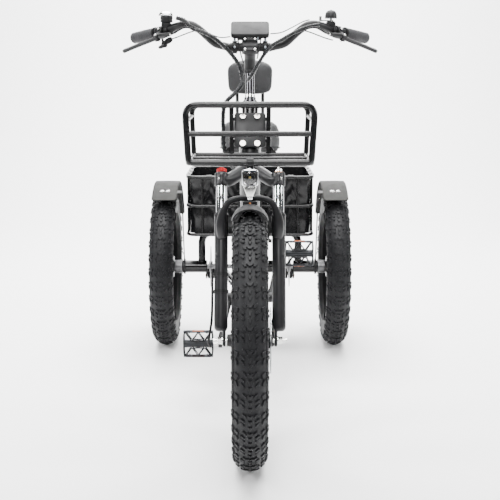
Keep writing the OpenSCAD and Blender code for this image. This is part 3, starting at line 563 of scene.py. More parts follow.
# Knobs that sit across the middle line
MIDDLE_KNOBS = (
    [(-5.5, 9), (-2, 10), (0, 5), (2, 10), (5.5, 9), (1.5, -4), (-1.5, -4)],
    [(-5.5, -9), (-2, -8), (0, -13), (2, -8), (5.5, -9), (1.5, -21), (-1.5, -21)],
    [(-10, 26), (-5, 27), (0, 23), (5, 27), (10, 26), (3, 17), (-3, 17)],
)


def tyre(name, body, place, outer, section, replaces):
    """A balloon tyre: a turned carcass with moulded knobs that follow its round section."""
    shape = Shape()
    middle = outer - section
    crown = section - KNOB_HEIGHT
    steps = 22
    outline = []
    for k in range(steps + 1):
        a = math.radians(-106 + 212 * k / steps)
        outline.append((crown * math.sin(a), middle + crown * math.cos(a)))
    bead = [(x * 0.82, r - 30) for x, r in (outline[-1], outline[0])]
    shape.turn(outline + [(x * 0.9, r - 16) for x, r in (outline[-1],)] + bead
               + [(outline[0][0] * 0.9, outline[0][1] - 16)], place, 160)
    for side in (-1, 1):
        for lip in (62, 74, 96):
            a = math.radians(lip)
            ring = (side * crown * math.sin(a), middle + crown * math.cos(a))
            shape.turn([(ring[0] + side * 1.1, ring[1] - 0.9), (ring[0] + side * 1.1, ring[1] + 0.9),
                        (ring[0] - side * 2, ring[1] + 1.4), (ring[0] - side * 2, ring[1] - 1.4)], place, 160)
    repeats = round(2 * math.pi * outer / TREAD_STEP)
    step = 2 * math.pi / repeats

    def surface(across, along, turn, rise):
        lean = across / section
        r = middle + (crown + rise) * math.cos(lean)
        a = turn + along / outer
        return (crown + rise) * math.sin(lean), -r * math.sin(a), r * math.cos(a)

    def knob(outline, turn):
        count = len(outline)
        cx, cy = sum(p[0] for p in outline) / count, sum(p[1] for p in outline) / count
        rings = []
        for scale, rise in ((1.06, -1.5), (1.0, KNOB_HEIGHT * 0.75), (0.84, KNOB_HEIGHT)):
            rings += [surface(cx + (x - cx) * scale, cy + (y - cy) * scale, turn, rise) for x, y in outline]
        faces = [[i * count + k, i * count + (k + 1) % count, (i + 1) * count + (k + 1) % count,
                  (i + 1) * count + k]
                 for i in range(2) for k in range(count)]
        faces.append([2 * count + k for k in range(count)])
        shape.add(rings, faces, place)

    for n in range(repeats):
        for outline in MIDDLE_KNOBS:
            knob([(x, -y) for x, y in reversed(outline)], n * step)
        for outline in SIDE_KNOBS:
            knob([(x, -y) for x, y in reversed(outline)], n * step)
            knob([(-x, -y) for x, y in outline], n * step)
    piece = make(name, shape, body, TYRE, replaces, angle=32)
    return piece


tyre("front_tyre_rubber", "front_wheel", AXLE_F, FRONT_R, 49, ["front_tyre"])
for sign, side in ((-1, "right"), (1, "left")):
    tyre(f"rear_tyre_rubber_{side}", f"{side}_wheel", AXLE_R @ moved(sign * TRACK_X, 0, 0), REAR_R, 48,
         [f"rear_tyre_{side}"])


def rim_details(name, body, place, seat, half, hub_r):
    """Spoke nipples, the valve and the hub's spoke heads."""
    shape = Shape()
    for k in range(18):
        for side in (-1, 1):
            a = math.radians(20 * k + 5 * side)
            turn = place @ Matrix.Rotation(a, 4, "X")
            lean = math.radians(9 * side)
            top = Vector((side * 9, (seat - 16) * math.sin(lean), (seat - 16) * math.cos(lean)))
            foot = Vector((side * half, -hub_r * math.sin(lean), hub_r * math.cos(lean)))
            way = (top - foot).normalized()
            shape.rod(top - way * 15, top + way * 1.5, 2.75, turn, 8)
            shape.ball(foot - way * 1, 2.6, turn, (1, 1, 1))
    shape.rod((0, 0, seat - 15), (0, 0, seat - 52), 3.1, place @ Matrix.Rotation(math.radians(190), 4, "X"),
              12)
    make(name, shape, body, BOLT)


rim_details("front_spoke_nipples", "front_wheel", AXLE_F, 253.5, 28, 79)
for sign, side in ((-1, "right"), (1, "left")):
    rim_details(f"rear_spoke_nipples_{side}", f"{side}_wheel", AXLE_R @ moved(sign * TRACK_X, 0, 0), 203, 26,
                40)

# ---------- frame, rack and basket ----------

HOOP_TOP = 442
RACK_LOW = 833


def rear_frame():
    shape = Shape()
    for a, b in ((168, 265), (-28, 138), (-138, -95), (-265, -168)):
        shape.turn([(a, 8.6), (a, 22.6), (a + 1.4, 24), (b - 1.4, 24), (b, 22.6), (b, 8.6)], AXLE_R, 48)
    hoop = [at(-188, WHEELBASE, REAR_R), at(-188, WHEELBASE, HOOP_TOP), at(188, WHEELBASE, HOOP_TOP),
            at(188, WHEELBASE, REAR_R)]
    shape.sweep(rounded(hoop, 46, 8), 14, sides=20)
    for x in (-122, 122):
        shape.sweep([at(x, WHEELBASE, REAR_R), at(x, WHEELBASE, HOOP_TOP)], 8)
    for side in BOTH:
        shape.rod(at(60, 1058.5, HOOP_TOP), at(60, 1440, HOOP_TOP), 10, side)
        shape.block(at(168.5, 1262, REAR_R - 52), at(174.5, 1322, REAR_R - 12), 2, side)
    shape.sweep([at(-66, 1428, HOOP_TOP), at(66, 1428, HOOP_TOP)], 9.5)
    make("rear_subframe_tubes", shape, "frame", FRAME_BLACK, ["rear_subframe"])


def weld(shape, centre, axis, radius, bead=2.2):
    """A ring of overlapping weld ripples."""
    axis = Vector(axis).normalized()
    side = axis.orthogonal().normalized()
    other = axis.cross(side)
    count = max(int(2 * math.pi * radius / 3.4), 14)
    ring = [Vector(centre) + radius * (math.cos(2 * math.pi * k / count) * side
                                       + math.sin(2 * math.pi * k / count) * other) for k in range(count)]
    shape.sweep(ring, [bead * (1.0 if k % 2 else 0.72) for k in range(count)], sides=8, closed=True)


def frame_welds():
    shape = Shape()
    down = (at(0, 663, 315) - at(0, 252, 888)).normalized()
    weld(shape, at(0, 252, 888) + down * 35, down, 31)
    weld(shape, BB - down * 40, down, 31.4)
    up = Vector((0, math.sin(LEAN), math.cos(LEAN)))
    weld(shape, BB + up * 34, up, 19.4)
    brace = (at(0, 735, 510) - at(0, 538, 489)).normalized()
    weld(shape, at(0, 735, 510) - brace * 20, brace, 17.3)
    for x in (-188, 188):
        weld(shape, at(x, WHEELBASE, REAR_R + 24), Z, 14.2, 1.8)
    for x in (-122, 122):
        weld(shape, at(x, WHEELBASE, REAR_R + 24), Z, 8.2, 1.5)
    for x in (-60, 60):
        weld(shape, at(x, WHEELBASE - 13, HOOP_TOP), Y, 10.2, 1.5)
        weld(shape, at(x, WHEELBASE + 13, HOOP_TOP), Y, 10.2, 1.5)
    make("frame_weld_beads", shape, "frame", FRAME_BLACK)


def rack_arch(half, d, top, taper, tight):
    """A rack loop; points set tight millimetres off its lower corners keep those bends small."""
    low, side = half - taper, half - taper + taper * tight / (top - RACK_LOW)
    return [at(-low + tight, d, RACK_LOW), at(-low, d, RACK_LOW), at(-side, d, RACK_LOW + tight),
            at(-half, d, top),
            at(half, d, top), at(side, d, RACK_LOW + tight), at(low, d, RACK_LOW), at(low - tight, d,
                                                                                      RACK_LOW)]


def front_rack():
    shape = Shape()
    shape.sweep(rounded(rack_arch(166.5, -50, 981, 8, 24), 34, 8, closed=True), 8.5, sides=20, closed=True)
    shape.sweep(rounded(rack_arch(163, 190, 974, 6, 12), 32, 8, closed=True), 7, sides=18, closed=True)
    shape.sweep([at(-163, -50, 907), at(163, -50, 907)], 7)
    shape.sweep([at(-156, 70, RACK_LOW), at(156, 70, RACK_LOW)], 6)
    for side in BOTH:
        shape.sweep([at(158.5, -50, RACK_LOW), at(157, 190, RACK_LOW)], 6.6, side)
        shape.sweep([at(165, -50, 938), at(162, 190, 942)], 6, side)
        shape.sweep([at(52, 190, RACK_LOW), at(52, 190, 974)], 6.5, side)
        for z in (868, 928):
            shape.block(at(43, 188, z), at(53, 228, z + 9), 1.2, side)
        shape.plate([(0, 6), (0, 30), (24, 6)], -1.6, 1.6, 0.5,
                    side @ moved(at(52, 190, RACK_LOW)) @ turned(90, 0, 0))
    for p, axis, r in ((at(-163, -50, 907), X, 7), (at(163, -50, 907), X, 7), (at(52, 190, 967), Z, 7),
                       (at(-52, 190, 967), Z, 7), (at(52, 190, 841), Z, 7), (at(-52, 190, 841), Z, 7),
                       (at(165, -43, 938), Y, 6), (at(-165, -43, 938), Y, 6), (at(158, -43, RACK_LOW), Y, 7),
                       (at(-158, -43, RACK_LOW), Y, 7)):
        weld(shape, p, axis, r, 1.1)
    make("front_rack_tubes", shape, "frame", RACK_BLACK, ["front_rack"])
    plate = Shape()
    flat = STEER @ moved(0, 15.7, 594) @ turned(90, 0, 0)
    plate.plate(round_box(88, 100, 7), 0, 5.7, 0.9, flat)
    make("front_rack_plate", plate, "frame", SATIN_BLACK)


def basket_tubes():
    shape = Shape()
    low, top, mid = 463, 677, 1251
    w, d = 231.5, 194
    for z in (low, 570, top):
        corners = [at(x * w, mid + y * d, z) for x, y in ((-1, -1), (1, -1), (1, 1), (-1, 1))]
        shape.sweep(rounded(corners, 38, 8, closed=True), 6, sides=16, closed=True)
    for x in (-176, 0, 176):
        for y in (-d, d):
            shape.sweep([at(x, mid + y, low), at(x, mid + y, top)], 4.5)
    for x in (-w, w):
        for y in (-120, 0, 120):
            shape.sweep([at(x, mid + y, low), at(x, mid + y, top)], 4.5)
    for x in (-150, -60, 60, 150):
        shape.sweep([at(x, mid - d, low), at(x, mid + d, low)], 4.5)
    for x in (-60, 60):
        for y in (1110, 1390):
            shape.block(at(x - 8, y, HOOP_TOP + 10.3), at(x + 8, y + 24, HOOP_TOP + 18.3), 1.2)
            shape.bolt((0, 0, 0), 5, 3.2, moved(at(x, y + 12, HOOP_TOP + 18.2)) @ turned(0, -90, 0))
    make("rear_basket_tubes", shape, "frame", RACK_BLACK, ["rear_basket"])


def basket_liner():
    """A sewn vinyl liner that hangs in the basket: pulled tight at its straps, slack between them."""
    mid, low, top = 1251, 468.4, 679
    w, d, corner = 224, 186.5, 34
    outline = round_box(2 * w, 2 * d, corner, 8)
    ring = []
    for i, p in enumerate(outline):
        q = outline[(i + 1) % len(outline)]
        length = math.dist(p, q)
        parts = max(1, round(length / 5.5))
        ring += [(p[0] + (q[0] - p[0]) * k / parts, p[1] + (q[1] - p[1]) * k / parts) for k in range(parts)]
    levels = 38
    straps = (-150, -100, 0, 100, 150)
    count = len(ring)
    points = []
    for j in range(levels + 1):
        t = j / levels
        z = low + (top - low) * t
        for x, y in ring:
            n = Vector((x / w, y / d, 0)).normalized()
            along = x if abs(y) / d > abs(x) / w else y
            pull = min(abs(along - s) for s in straps)
            loose = math.sin(math.pi * min(t * 1.02, 1)) ** 0.7
            fold = math.sin((pull * 0.55 + t * 60) * 0.42 + (x + y) * 0.013) * math.exp(-pull / 48) * t
            slack = noise.noise(Vector((x * 0.013, y * 0.013, z * 0.017)) + Vector((3, 7, 1)))
            small = noise.noise(Vector((x * 0.045, y * 0.045, z * 0.06 + x * 0.02)))
            inward = loose * (3.6 + 5.5 * slack + 1.8 * small) + 2.3 * fold * loose
            dip = 1.6 * math.cos(pull * 0.06) * t ** 6 - 1.6 * t ** 6
            points.append((x - n.x * inward, FRONT_Y + mid + y - n.y * inward, z + dip))
    faces = [[j * count + k, j * count + (k + 1) % count, (j + 1) * count + (k + 1) % count,
              (j + 1) * count + k]
             for j in range(levels) for k in range(count)]
    rings = 9
    for j in range(1, rings):
        scale = 1 - j / rings
        for x, y in ring:
            rise = 1.6 * max(noise.noise(Vector((x * scale * 0.02, y * scale * 0.02, 5))), 0)
            points.append((x * scale, FRONT_Y + mid + y * scale, low + rise))
    start = (levels + 1) * count
    previous = 0
    for j in range(rings - 1):
        here = start + j * count
        faces += [[previous + (k + 1) % count, previous + k, here + k,
                   here + (k + 1) % count] for k in range(count)]
        previous = here
    points.append((0, FRONT_Y + mid, low))
    faces += [[previous + (k + 1) % count, previous + k, len(points) - 1] for k in range(count)]
    shape = Shape().add(points, faces)
    piece = make("basket_liner_vinyl", shape, "frame", VINYL, ["basket_liner"], angle=180)
    thick = piece.modifiers.new("thickness", "SOLIDIFY")
    thick.thickness = 1.1 * MM
    thick.offset = 1
    applied(piece)
    shaded(piece.data, 60)
    trim = Shape()
    hem = [(x * 1.004, FRONT_Y + mid + y * 1.004, top - 1) for x, y in ring]
    trim.sweep(hem, 2.4, sides=10, closed=True, up=(0, 0, 1))
    for s in straps:
        for y in (-1, 1):
            strap_loop(trim, (s, FRONT_Y + mid + y * 194, 677), X)
    for s in (-100, 0, 100):
        for x in (-1, 1):
            strap_loop(trim, (x * 231.5, FRONT_Y + mid + s, 677), Y)
    hems = make("basket_liner_hem_and_straps", trim, "frame", VINYL)


def strap_loop(shape, centre, along):
    """A webbing loop round the basket's top tube, sewn to the liner's hem."""
    turn = moved(centre) @ (Matrix.Identity(4) if along is X else turned(0, 0, 90))
    loop = [(0, 7.6 * math.cos(a), 7.6 * math.sin(a)) for a in (2 * math.pi * k / 24 for k in range(24))]
    points, faces = [], []
    for _, y, z in loop:
        for x, r in ((-10, 1.0), (10, 1.0), (10, 1.16), (-10, 1.16)):
            points.append((x, y * r, z * r))
    for i in range(24):
        for k in range(4):
            n = (k + 1) % 4
            j = (i + 1) % 24
            faces.append([i * 4 + k, i * 4 + n, j * 4 + n, j * 4 + k])
    shape.add(points, faces, turn)


rear_frame()
frame_welds()
front_rack()
basket_tubes()
basket_liner()

# ---------- fenders ----------


def shell_strip(name, body, place, section, start, end, thick, paint, replaces, corner=14.0, parts=40):
    """A curved sheet: a section of (across, radius) points swung about X, its corners rounded."""
    count = len(section)
    points, faces = [], []
    mid = (section[0][0] + section[-1][0]) / 2
    half = abs(section[-1][0] - section[0][0]) / 2
    radius = max(r for _, r in section)
    length = math.radians(end - start) * radius
    for i in range(parts + 1):
        t = 0.5 - 0.5 * math.cos(math.pi * i / parts)
        along = length * t
        edge = min(along, length - along)
        cut = 0.0
        if edge < corner:
            cut = corner - math.sqrt(max(corner ** 2 - (corner - edge) ** 2, 0))
        squeeze = (half - cut) / half
        a = math.radians(start) + along / radius
        for x, r in section:
            points.append((mid + (x - mid) * squeeze, r * math.sin(a), r * math.cos(a)))
    for i in range(parts):
        for k in range(count - 1):
            faces.append([i * count + k, i * count + k + 1, (i + 1) * count + k + 1, (i + 1) * count + k])
    piece = make(name, Shape().add(points, faces, place), body, paint, replaces, angle=180)
    wall = piece.modifiers.new("wall", "SOLIDIFY")
    wall.thickness = thick * MM
    wall.offset = -1
    rim = piece.modifiers.new("rim", "BEVEL")
    rim.width = thick * 0.25 * MM
    rim.segments = 2
    rim.angle_limit = math.radians(50)
    applied(piece)
    shaded(piece.data, 50)
    return piece


def rear_fenders():
    for sign, side in ((-1, "right"), (1, "left")):
        section = [(sign * 319 + x, 336 - 0.9 * (abs(x) / 47.5) ** 2.5 - (3.0 if abs(x) > 46 else 0))
                   for x in (-47.5, -46.6, -45, -38, -26, -13, 0, 13, 26, 38, 45, 46.6, 47.5)]
        shell_strip(f"rear_fender_{side}", "frame", AXLE_R, section, -32, 60, 2.0, FENDER_GREY,
                    ["rear_fenders"] if sign < 0 else ())
    metal_parts, screws = Shape(), Shape()
    for mirror in BOTH:
        lean = mirror @ AXLE_R @ Matrix.Rotation(math.radians(22), 4, "X")
        metal_parts.block((254, -10, 330), (338, 10, 333.4), 1.2, lean)
        metal_parts.block((254, -10, 25), (258, 10, 333), 1.2, lean)
        metal_parts.turn([(252, 24.4), (252, 30), (260, 30), (260, 24.4)], mirror @ AXLE_R, 40)
        for x in (-11, 11):
            up = lean @ moved(319 + x, 0, 335.6) @ turned(0, -90, 0)
            screws.turn([(0, 8), (1, 8), (1, 6.2), (4.2, 5.4), (5, 3.4), (3.4, 3), (3.4, 0.01)], up, 28,
                        closed=False)
            screws.rod((-8, 0, 0), (0, 0, 0), 3, up, 12)
            screws.turn([(-6.6, 5.6), (-6.6, 2.8), (-3.2, 2.8), (-3.2, 5.6)], up, 6)
        for z in (60, 300):
            screws.bolt((258, 0, z), 5, 3, lean)
    make("fender_brackets", metal_parts, "frame", SATIN_BLACK, ["fender_hardware"])
    make("fender_bolts", screws, "frame", BOLT)


def front_fender():
    section = []
    for k in range(21):
        a = math.radians(-70 + 140 * k / 20)
        section.append((52 * math.sin(a), 317 + 52 * math.cos(a)))
    shell_strip("front_fender_shell", "lowers", AXLE_F, section, -8, 59, 2.4, SATIN_BLACK,
                ["front_fender"], corner=18)
    fittings = Shape()
    lip = []
    for k in range(17):
        a = math.radians(-62 + 124 * k / 16)
        swing = math.radians(-7.8)
        r = 317 + 51.4 * math.cos(a)
        lip.append((51.4 * math.sin(a), r * math.sin(swing), r * math.cos(swing)))
    fittings.sweep(lip, 1.7, AXLE_F, sides=8)
    for side in BOTH:
        fittings.rod(at(4.5, 63, 707), at(4.5, 65, 717), 1.6, side)
        fittings.block(at(2.6, 61, 706), at(6.4, 67, 711), 0.7, side)
    fittings.block(at(-20, 78, 699), at(20, 96, 715.6), 2.2)
    fittings.sweep(rounded([at(48, 82, 676), at(53, 98, 604), at(59.5, 98, 604)], 5, 4), 2, sides=12)
    fittings.turn([(52, 1.8), (52, 5.4), (59.8, 5.4), (59.8, 1.8)], moved(at(0, 98, 604)), 24)
    make("front_fender_fittings", fittings, "lowers", SATIN_BLACK)
    screws = Shape()
    screws.turn([(0, 5.6), (1.2, 5.6), (1.2, 4), (3.2, 3.4), (3.4, 0.01)],
                moved(at(0, 78, 708)) @ turned(0, 0, -90), 24, closed=False)
    make("fender_bracket_bolt", screws, "lowers", BRASS)
    nuts = Shape()
    nuts.turn([(48.4, 1), (48.4, 4.6), (51.8, 4.6), (52.6, 1)], moved(at(0, 98, 604)), 6)
    make("fender_stay_nut", nuts, "lowers", BOLT)


# ---------- fork ----------


def fork_crown():
    shape = Shape()
    for side in BOTH:
        place = side @ STEER
        shape.turn([(428, 15.3), (428, 18.4), (430, 19), (463, 19), (466, 17.5), (466, 15.3)],
                   place @ moved(LEG_X, 0, 0) @ turned(0, -90, 0), 48)
        path = curve([(79, 0, 447), (66, 9, 447), (52, 18, 455), (36, 28, 468), (20, 37, 481),
                      (0, 45.8, 490)], 4)
        width = [17.5 + 0.8 * math.sin(math.pi * i / (len(path) - 1)) for i in range(len(path))]
        shape.sweep(path, width, place, sides=20, flat=1.15, up=(0, 1, 0.4), power=0.75)
        shape.block((73, -24, 434), (85, -8, 460), 3, place)
    shape.turn([(474, 0.1), (474, 22), (478, 24.5), (506, 24.5), (509, 22), (516, 21), (516, 0.1)],
               STEER @ moved(0, 45.8, 0) @ turned(0, -90, 0), 48, closed=False)
    make("fork_crown_casting", shape, "steering", FORK_GREY, ["fork_crown"], voxel=1.3,
         smooth=5)
    steerer = Shape()
    steerer.turn([(500, 12.9), (500, 14.3), (707, 14.3), (708, 12.9)],
                 STEER @ moved(0, 45.8, 0) @ turned(0, -90, 0),
                 40)
    for side in BOTH:
        steerer.bolt((73, -16, 447), 3.6, 3.4, side @ STEER @ moved(0, 0, 0) @ moved(85 - 73, 0, 0))
    make("steerer_and_pinch_bolts", steerer, "steering", BOLT)
    caps = Shape()
    top = STEER @ moved(LEG_X, 0, 466) @ turned(0, -90, 0)
    caps.turn([(0, 11.5), (3.4, 11.5), (4.4, 10.4), (4.4, 0.01)], top, 36, closed=False)
    make("damper_collar", caps, "steering", BRASS)
    valve = Shape()
    valve.turn([(3.5, 7.6), (9, 7.6), (11, 6), (11, 4), (15, 3.6), (16.4, 2.4), (16.4, 0.01)], top, 28,
               closed=False)
    make("damper_cap", valve, "steering", BOLT)


def stanchion_wipers():
    shape = Shape()
    for x in (-LEG_X, LEG_X):
        leg = STEER @ moved(x, 0, 0) @ turned(0, -90, 0)
        shape.turn([(341, 15.15), (341, 20.4), (346, 20.6), (349, 18.4), (352, 17.6), (353.5, 15.15)], leg,
                   48)
    make("dust_wipers", shape, "lowers", PLASTIC)


def fork_lowers():
    shape = Shape()
    for x in (-1, 1):
        leg = STEER @ moved(x * LEG_X, 0, 0) @ turned(0, -90, 0)
        shape.turn([(24, 0.1), (25, 12), (30, 17), (38, 18.6), (60, 18.8), (285, 18.4), (318, 19.2),
                    (344, 19.6),
                    (345, 18), (345, 0.1)], leg, 48, closed=False)
        shape.block((x * 70 - 4, -15, -17), (x * 70 + 4, 15, 60), 4, STEER)
        shape.block((x * 79 - 6, 14, 296), (x * 79 + 6, 23, 322), 2.5, STEER)
    for side in BOTH:
        path = curve([(77, -12, 282), (78, -21, 304), (77, -30, 330), (70, -39, 356), (56, -45, 375),
                      (30, -46, 384),
                      (0, -46, 385)], 5)
        count = len(path) - 1
        size = [8.2 + 7.2 * math.exp(-((i / count - 0.2) / 0.26) ** 2) for i in range(count + 1)]
        shape.sweep(path, size, side @ STEER, sides=18, flat=0.82, up=(0, 1, 0.3), power=0.85)
        shape.turn([(-9, 8.5), (9, 8.5), (9, 0.1), (-9, 0.1)], side @ STEER @ moved(86, -8, 232), 20)
    shape.rod((70, 12, 60), (62, 53, 34), 6.5, STEER)
    shape.rod((72, 10, 84), (60, 52, 46), 5, STEER)
    make("fork_lowers_casting", shape, "lowers", FORK_GREY, ["fork_lowers"], voxel=1.4,
         smooth=5)
    stanchion_wipers()


def front_brake():
    shape = Shape()
    shape.block((46, 58, -10), (52.3, 100, 48), 4, STEER, 3)
    shape.block((58.7, 58, -10), (67, 100, 48), 4, STEER, 3)
    shape.block((46, 91, -6), (67, 100, 44), 3.5, STEER, 3)
    shape.block((60, 50, 4), (67, 62, 40), 2.5, STEER)
    shape.turn([(66, 13), (70, 12), (71, 9), (71, 0.1)], STEER @ moved(0, 78, 20), 32, closed=False)
    make("front_brake_caliper", shape, "lowers", SATIN_BLACK, ["front_caliper"])
    extras = Shape()
    for s in (8, 32):
        extras.bolt((67, 62, s), 4.4, 3, STEER)
    extras.turn([(71, 6), (74, 5), (74, 0.1)], STEER @ moved(0, 78, 20), 6, closed=False)
    make("front_caliper_bolts", extras, "lowers", BRASS)


def rear_brakes():
    shape, extras = Shape(), Shape()
    for side in BOTH:
        place = side @ AXLE_R @ moved(153, 0, 0)
        shape.block((-12, 40, -58), (-3.2, 92, -6), 3.5, place, 3)
        shape.block((3.2, 40, -58), (15, 92, -6), 3.5, place, 3)
        shape.block((-12, 84.4, -54), (15, 92, -10), 3, place, 3)
        shape.turn([(-12, 12), (-15, 10), (-15, 0.1)], place @ moved(0, 64, -32), 28, closed=False)
        for y in (48, 84):
            extras.bolt((-16, y, -14), 4.2, 3.2, place @ moved(4.2, 0, 0) @ Matrix.Scale(-1, 4, X))
        extras.bolt((21.6, 52, -46), 4.4, 3.4, place)
    make("rear_brake_calipers", shape, "frame", SATIN_BLACK, ["rear_calipers"])
    make("rear_caliper_bolts", extras, "frame", BRASS)


def motor_lead():
    route = [(-103, 0, 190), (-103, 0, 150), (-103, 0, 100), (-104, 2, 60), (-107, 3, 34), (-111, 3, 10),
             (-111, 1, -8), (-104, 0, -18)]
    shape = Shape().sweep(curve(route, 6), 3.5, STEER, sides=12)
    shape.rod((-103, 0, 182), (-103, 0, 196), 4.6, STEER)
    make("motor_lead", shape, "lowers", CABLE, ["motor_cable"])
    tie = Shape()
    leg = STEER @ moved(-LEG_X, 0, 0) @ turned(0, -90, 0)
    for s in (128, 176):
        tie.turn([(s, 19.3), (s, 20.8), (s + 9, 20.8), (s + 9, 19.3)], leg, 48)
        loop = [(-84 - 21 * math.cos(a), 6.4 * math.sin(a), s + 4.5) for a in
                (math.radians(-78 + 156 * k / 16) for k in range(17))]
        tie.sweep(loop, 1.6, STEER, sides=8, up=(0, 0, 1), flat=2.2)
    make("lead_ties", tie, "lowers", PLASTIC)


rear_fenders()
front_fender()
fork_crown()
fork_lowers()
front_brake()
rear_brakes()
motor_lead()

# ---------- steering, bars and controls ----------


def stem_and_bar():
    shape = Shape()
    shape.turn([(770, 0.1), (770, 14), (773, 16), (802, 16), (804, 14), (804, 0.1)],
               STEER @ moved(0, 45.8, 0) @ turned(0, -90, 0), 40, closed=False)
    arm = curve([(0, 45.8, 788), (0, 30, 800), (0, 12, 813), (0, -6, 821), (0, -20, 826)], 4)
    shape.sweep(arm, [15.5, 15, 14.6, 14.4, 14.4, 14.4, 14.4, 14.4, 14.6, 15, 15.2, 15.5, 15.6, 15.8, 16,
                      16.2, 16.4],
                STEER, sides=20, flat=1.12, up=(1, 0, 0), power=0.8)
    shape.turn([(-23, 12.8), (-23, 18.6), (-21, 19.6), (21, 19.6), (23, 18.6), (23, 12.8)],
               STEER @ moved(0, -21.9, 826.3), 48)
    for z in (-15, 15):
        shape.block((-19, -46, 826.3 + z - 5), (19, -24, 826.3 + z + 5), 3, STEER)
    make("stem_forging", shape, "steering", SATIN_BLACK, ["stem"], voxel=1.2, smooth=4)
    screws = Shape()
    for x in (-14, 14):
        for z in (-15, 15):
            screws.bolt((0, 0, 0), 4, 3.6, STEER @ moved(x, -45.6, 826.3 + z) @ turned(0, 0, -90))
    screws.bolt((0, 0, 0), 6.5, 5, STEER @ moved(0, 45.8, 804) @ turned(0, -90, 0))
    make("stem_bolts", screws, "steering", BOLT)
    bends = [(99, 262, 1140), (119, 262, 1159), (141, 262, 1179), (161, 262, 1192), (180, 263, 1195),
             (205, 278, 1190)]
    half = [at(60, 262, 1131)] + [at(*p) for p in bends] + [KNEE - 30 * GRIP_AXIS, KNEE + 125.6 * GRIP_AXIS]
    bar = Shape()
    route = rounded(half, 13, 5)
    route = [at(0, 262, 1131), at(56, 262, 1131)] + route
    for side in BOTH:
        bar.sweep(route, [12.7, 12.7] + [11.1] * (len(route) - 2), side, sides=22)
    make("handlebar_tube", bar, "steering", SATIN_BLACK, ["handlebar"])


def grips():
    """Rubber grips with a raised diamond pattern, a collar at the inner end and a closed outer end."""
    rings, around = 110, 64
    body, ends = Shape(), Shape()
    for place in (BAR, BAR_R):
        points = []
        for i in range(rings + 1):
            x = 31.4 + 98 * i / rings
            t = i / rings
            swell = 15.1 + 0.55 * math.sin(math.pi * t)
            for k in range(around):
                a = 2 * math.pi * k / around
                diamond = abs(math.sin(4 * a + x * 0.42)) * abs(math.sin(4 * a - x * 0.42))
                r = swell + (0.9 * diamond ** 0.6 if 0.05 < t < 0.94 else 0.8)
                points.append((x, r * math.sin(a), r * math.cos(a)))
        faces = [[i * around + (k + 1) % around, i * around + k, (i + 1) * around + k,
                  (i + 1) * around + (k + 1) % around]
                 for i in range(rings) for k in range(around)]
        faces += [[k for k in range(around)], [rings * around + k for k in reversed(range(around))]]
        body.add(points, faces, place)
        ends.turn([(30.2, 11.5), (30.2, 16), (31, 16.8), (35, 16.8), (36, 15.5), (36, 11.5)], place, 40)
        ends.turn([(126.5, 0.1), (126.5, 15.6), (129, 16.2), (131, 15), (131.6, 10), (131.6, 0.1)], place, 40,
                  closed=False)
    make("grip_sleeves", body, "steering", GRIP, ["grips"], angle=60)
    make("grip_collars", ends, "steering", PLASTIC)


def brake_perches():
    cast, screws, hoses = Shape(), Shape(), Shape()
    for place in (BAR, BAR_R):
        cast.turn([(-9, 11.5), (-9, 15), (-7.5, 16), (7.5, 16), (9, 15), (9, 11.5)], place, 40)
        for z in (-7, 7):
            cast.block((-7, -38, z - 2), (9, -8, z + 2), 1.6, place)
        body = curve([(6, -18, 0), (-6, -24, 0), (-20, -27, 0), (-36, -28, 0), (-46, -28, 0)], 4)
        sizes = [9, 9, 8.8, 8.6, 8.4, 8.2, 8, 7.8, 7.6, 7.4, 7.2, 7, 6.8, 6.4, 6, 5.6, 5.4]
        cast.sweep(body, sizes, place, sides=18, flat=1.05, up=(0, 0, 1), power=0.8)
        cast.turn([(-44, 5.2), (-46, 5.6), (-52, 5.6), (-54, 4), (-54, 0.1)], place @ moved(0, -28, 0), 20,
                  closed=False)
        screws.turn([(-60, 3), (-60, 4.2), (-54.5, 4.4), (-54.5, 3)], place @ moved(0, -28, 0), 12)
        for z in (8, -12.4):
            screws.turn([(0, 4.2), (3, 3.8), (4, 2), (4, 0.1)], place @ moved(2, -30, z) @ turned(0, -90, 0),
                        20,
                        closed=False)
        screws.bolt((0, 0, 0), 3.4, 3, place @ moved(0, -10, 15) @ turned(0, -90, 0))
        hoses.rod((-60, -28, 0), (-74, -29, 1), 2.5, place)
    make("brake_perch_castings", cast, "steering", SATIN_BLACK, ["brake_perches"])
    make("perch_screws", screws, "steering", BOLT)
    make("hose_ends", hoses, "steering", CABLE)


def brake_levers():
    for name, node, body, mirror in (("brake_blade_left", "brake_lever_left", "left_brake", HERE),
                                     ("brake_blade_right", "brake_lever_right", "right_brake", FLIP)):
        shape = Shape()
        turn = mirror @ BAR @ moved(2, -30, 0) @ turned(0, 0, -17)
        outline = [(0, 7.4), (10, 6), (30, 5.6), (58, 5.8), (84, 5), (104, 4.2)]
        outline += arc((119, -1.5), 7.2, 110, -100, 10)
        outline += [(106, -7.6), (84, -7.2), (60, -7.6), (40, -8), (20, -8.2), (8, -8.4)] + arc((0, 0), 7.6,
                                                                                                -70, -260, 8)
        shape.plate(outline, -4.6, 4.6, 2, turn, 3)
        shape.turn([(-4.65, 4), (-4.65, 2.5), (4.65, 2.5), (4.65, 4)], turn @ turned(0, 90, 0), 24)
        shape.rod((0, 0, -8.5), (0, 0, 8.5), 2.5, turn)
        make(name, shape, body, satin(f"lever satin {name[12:]}", (0.009, 0.009, 0.01), 0.34),
             [node])


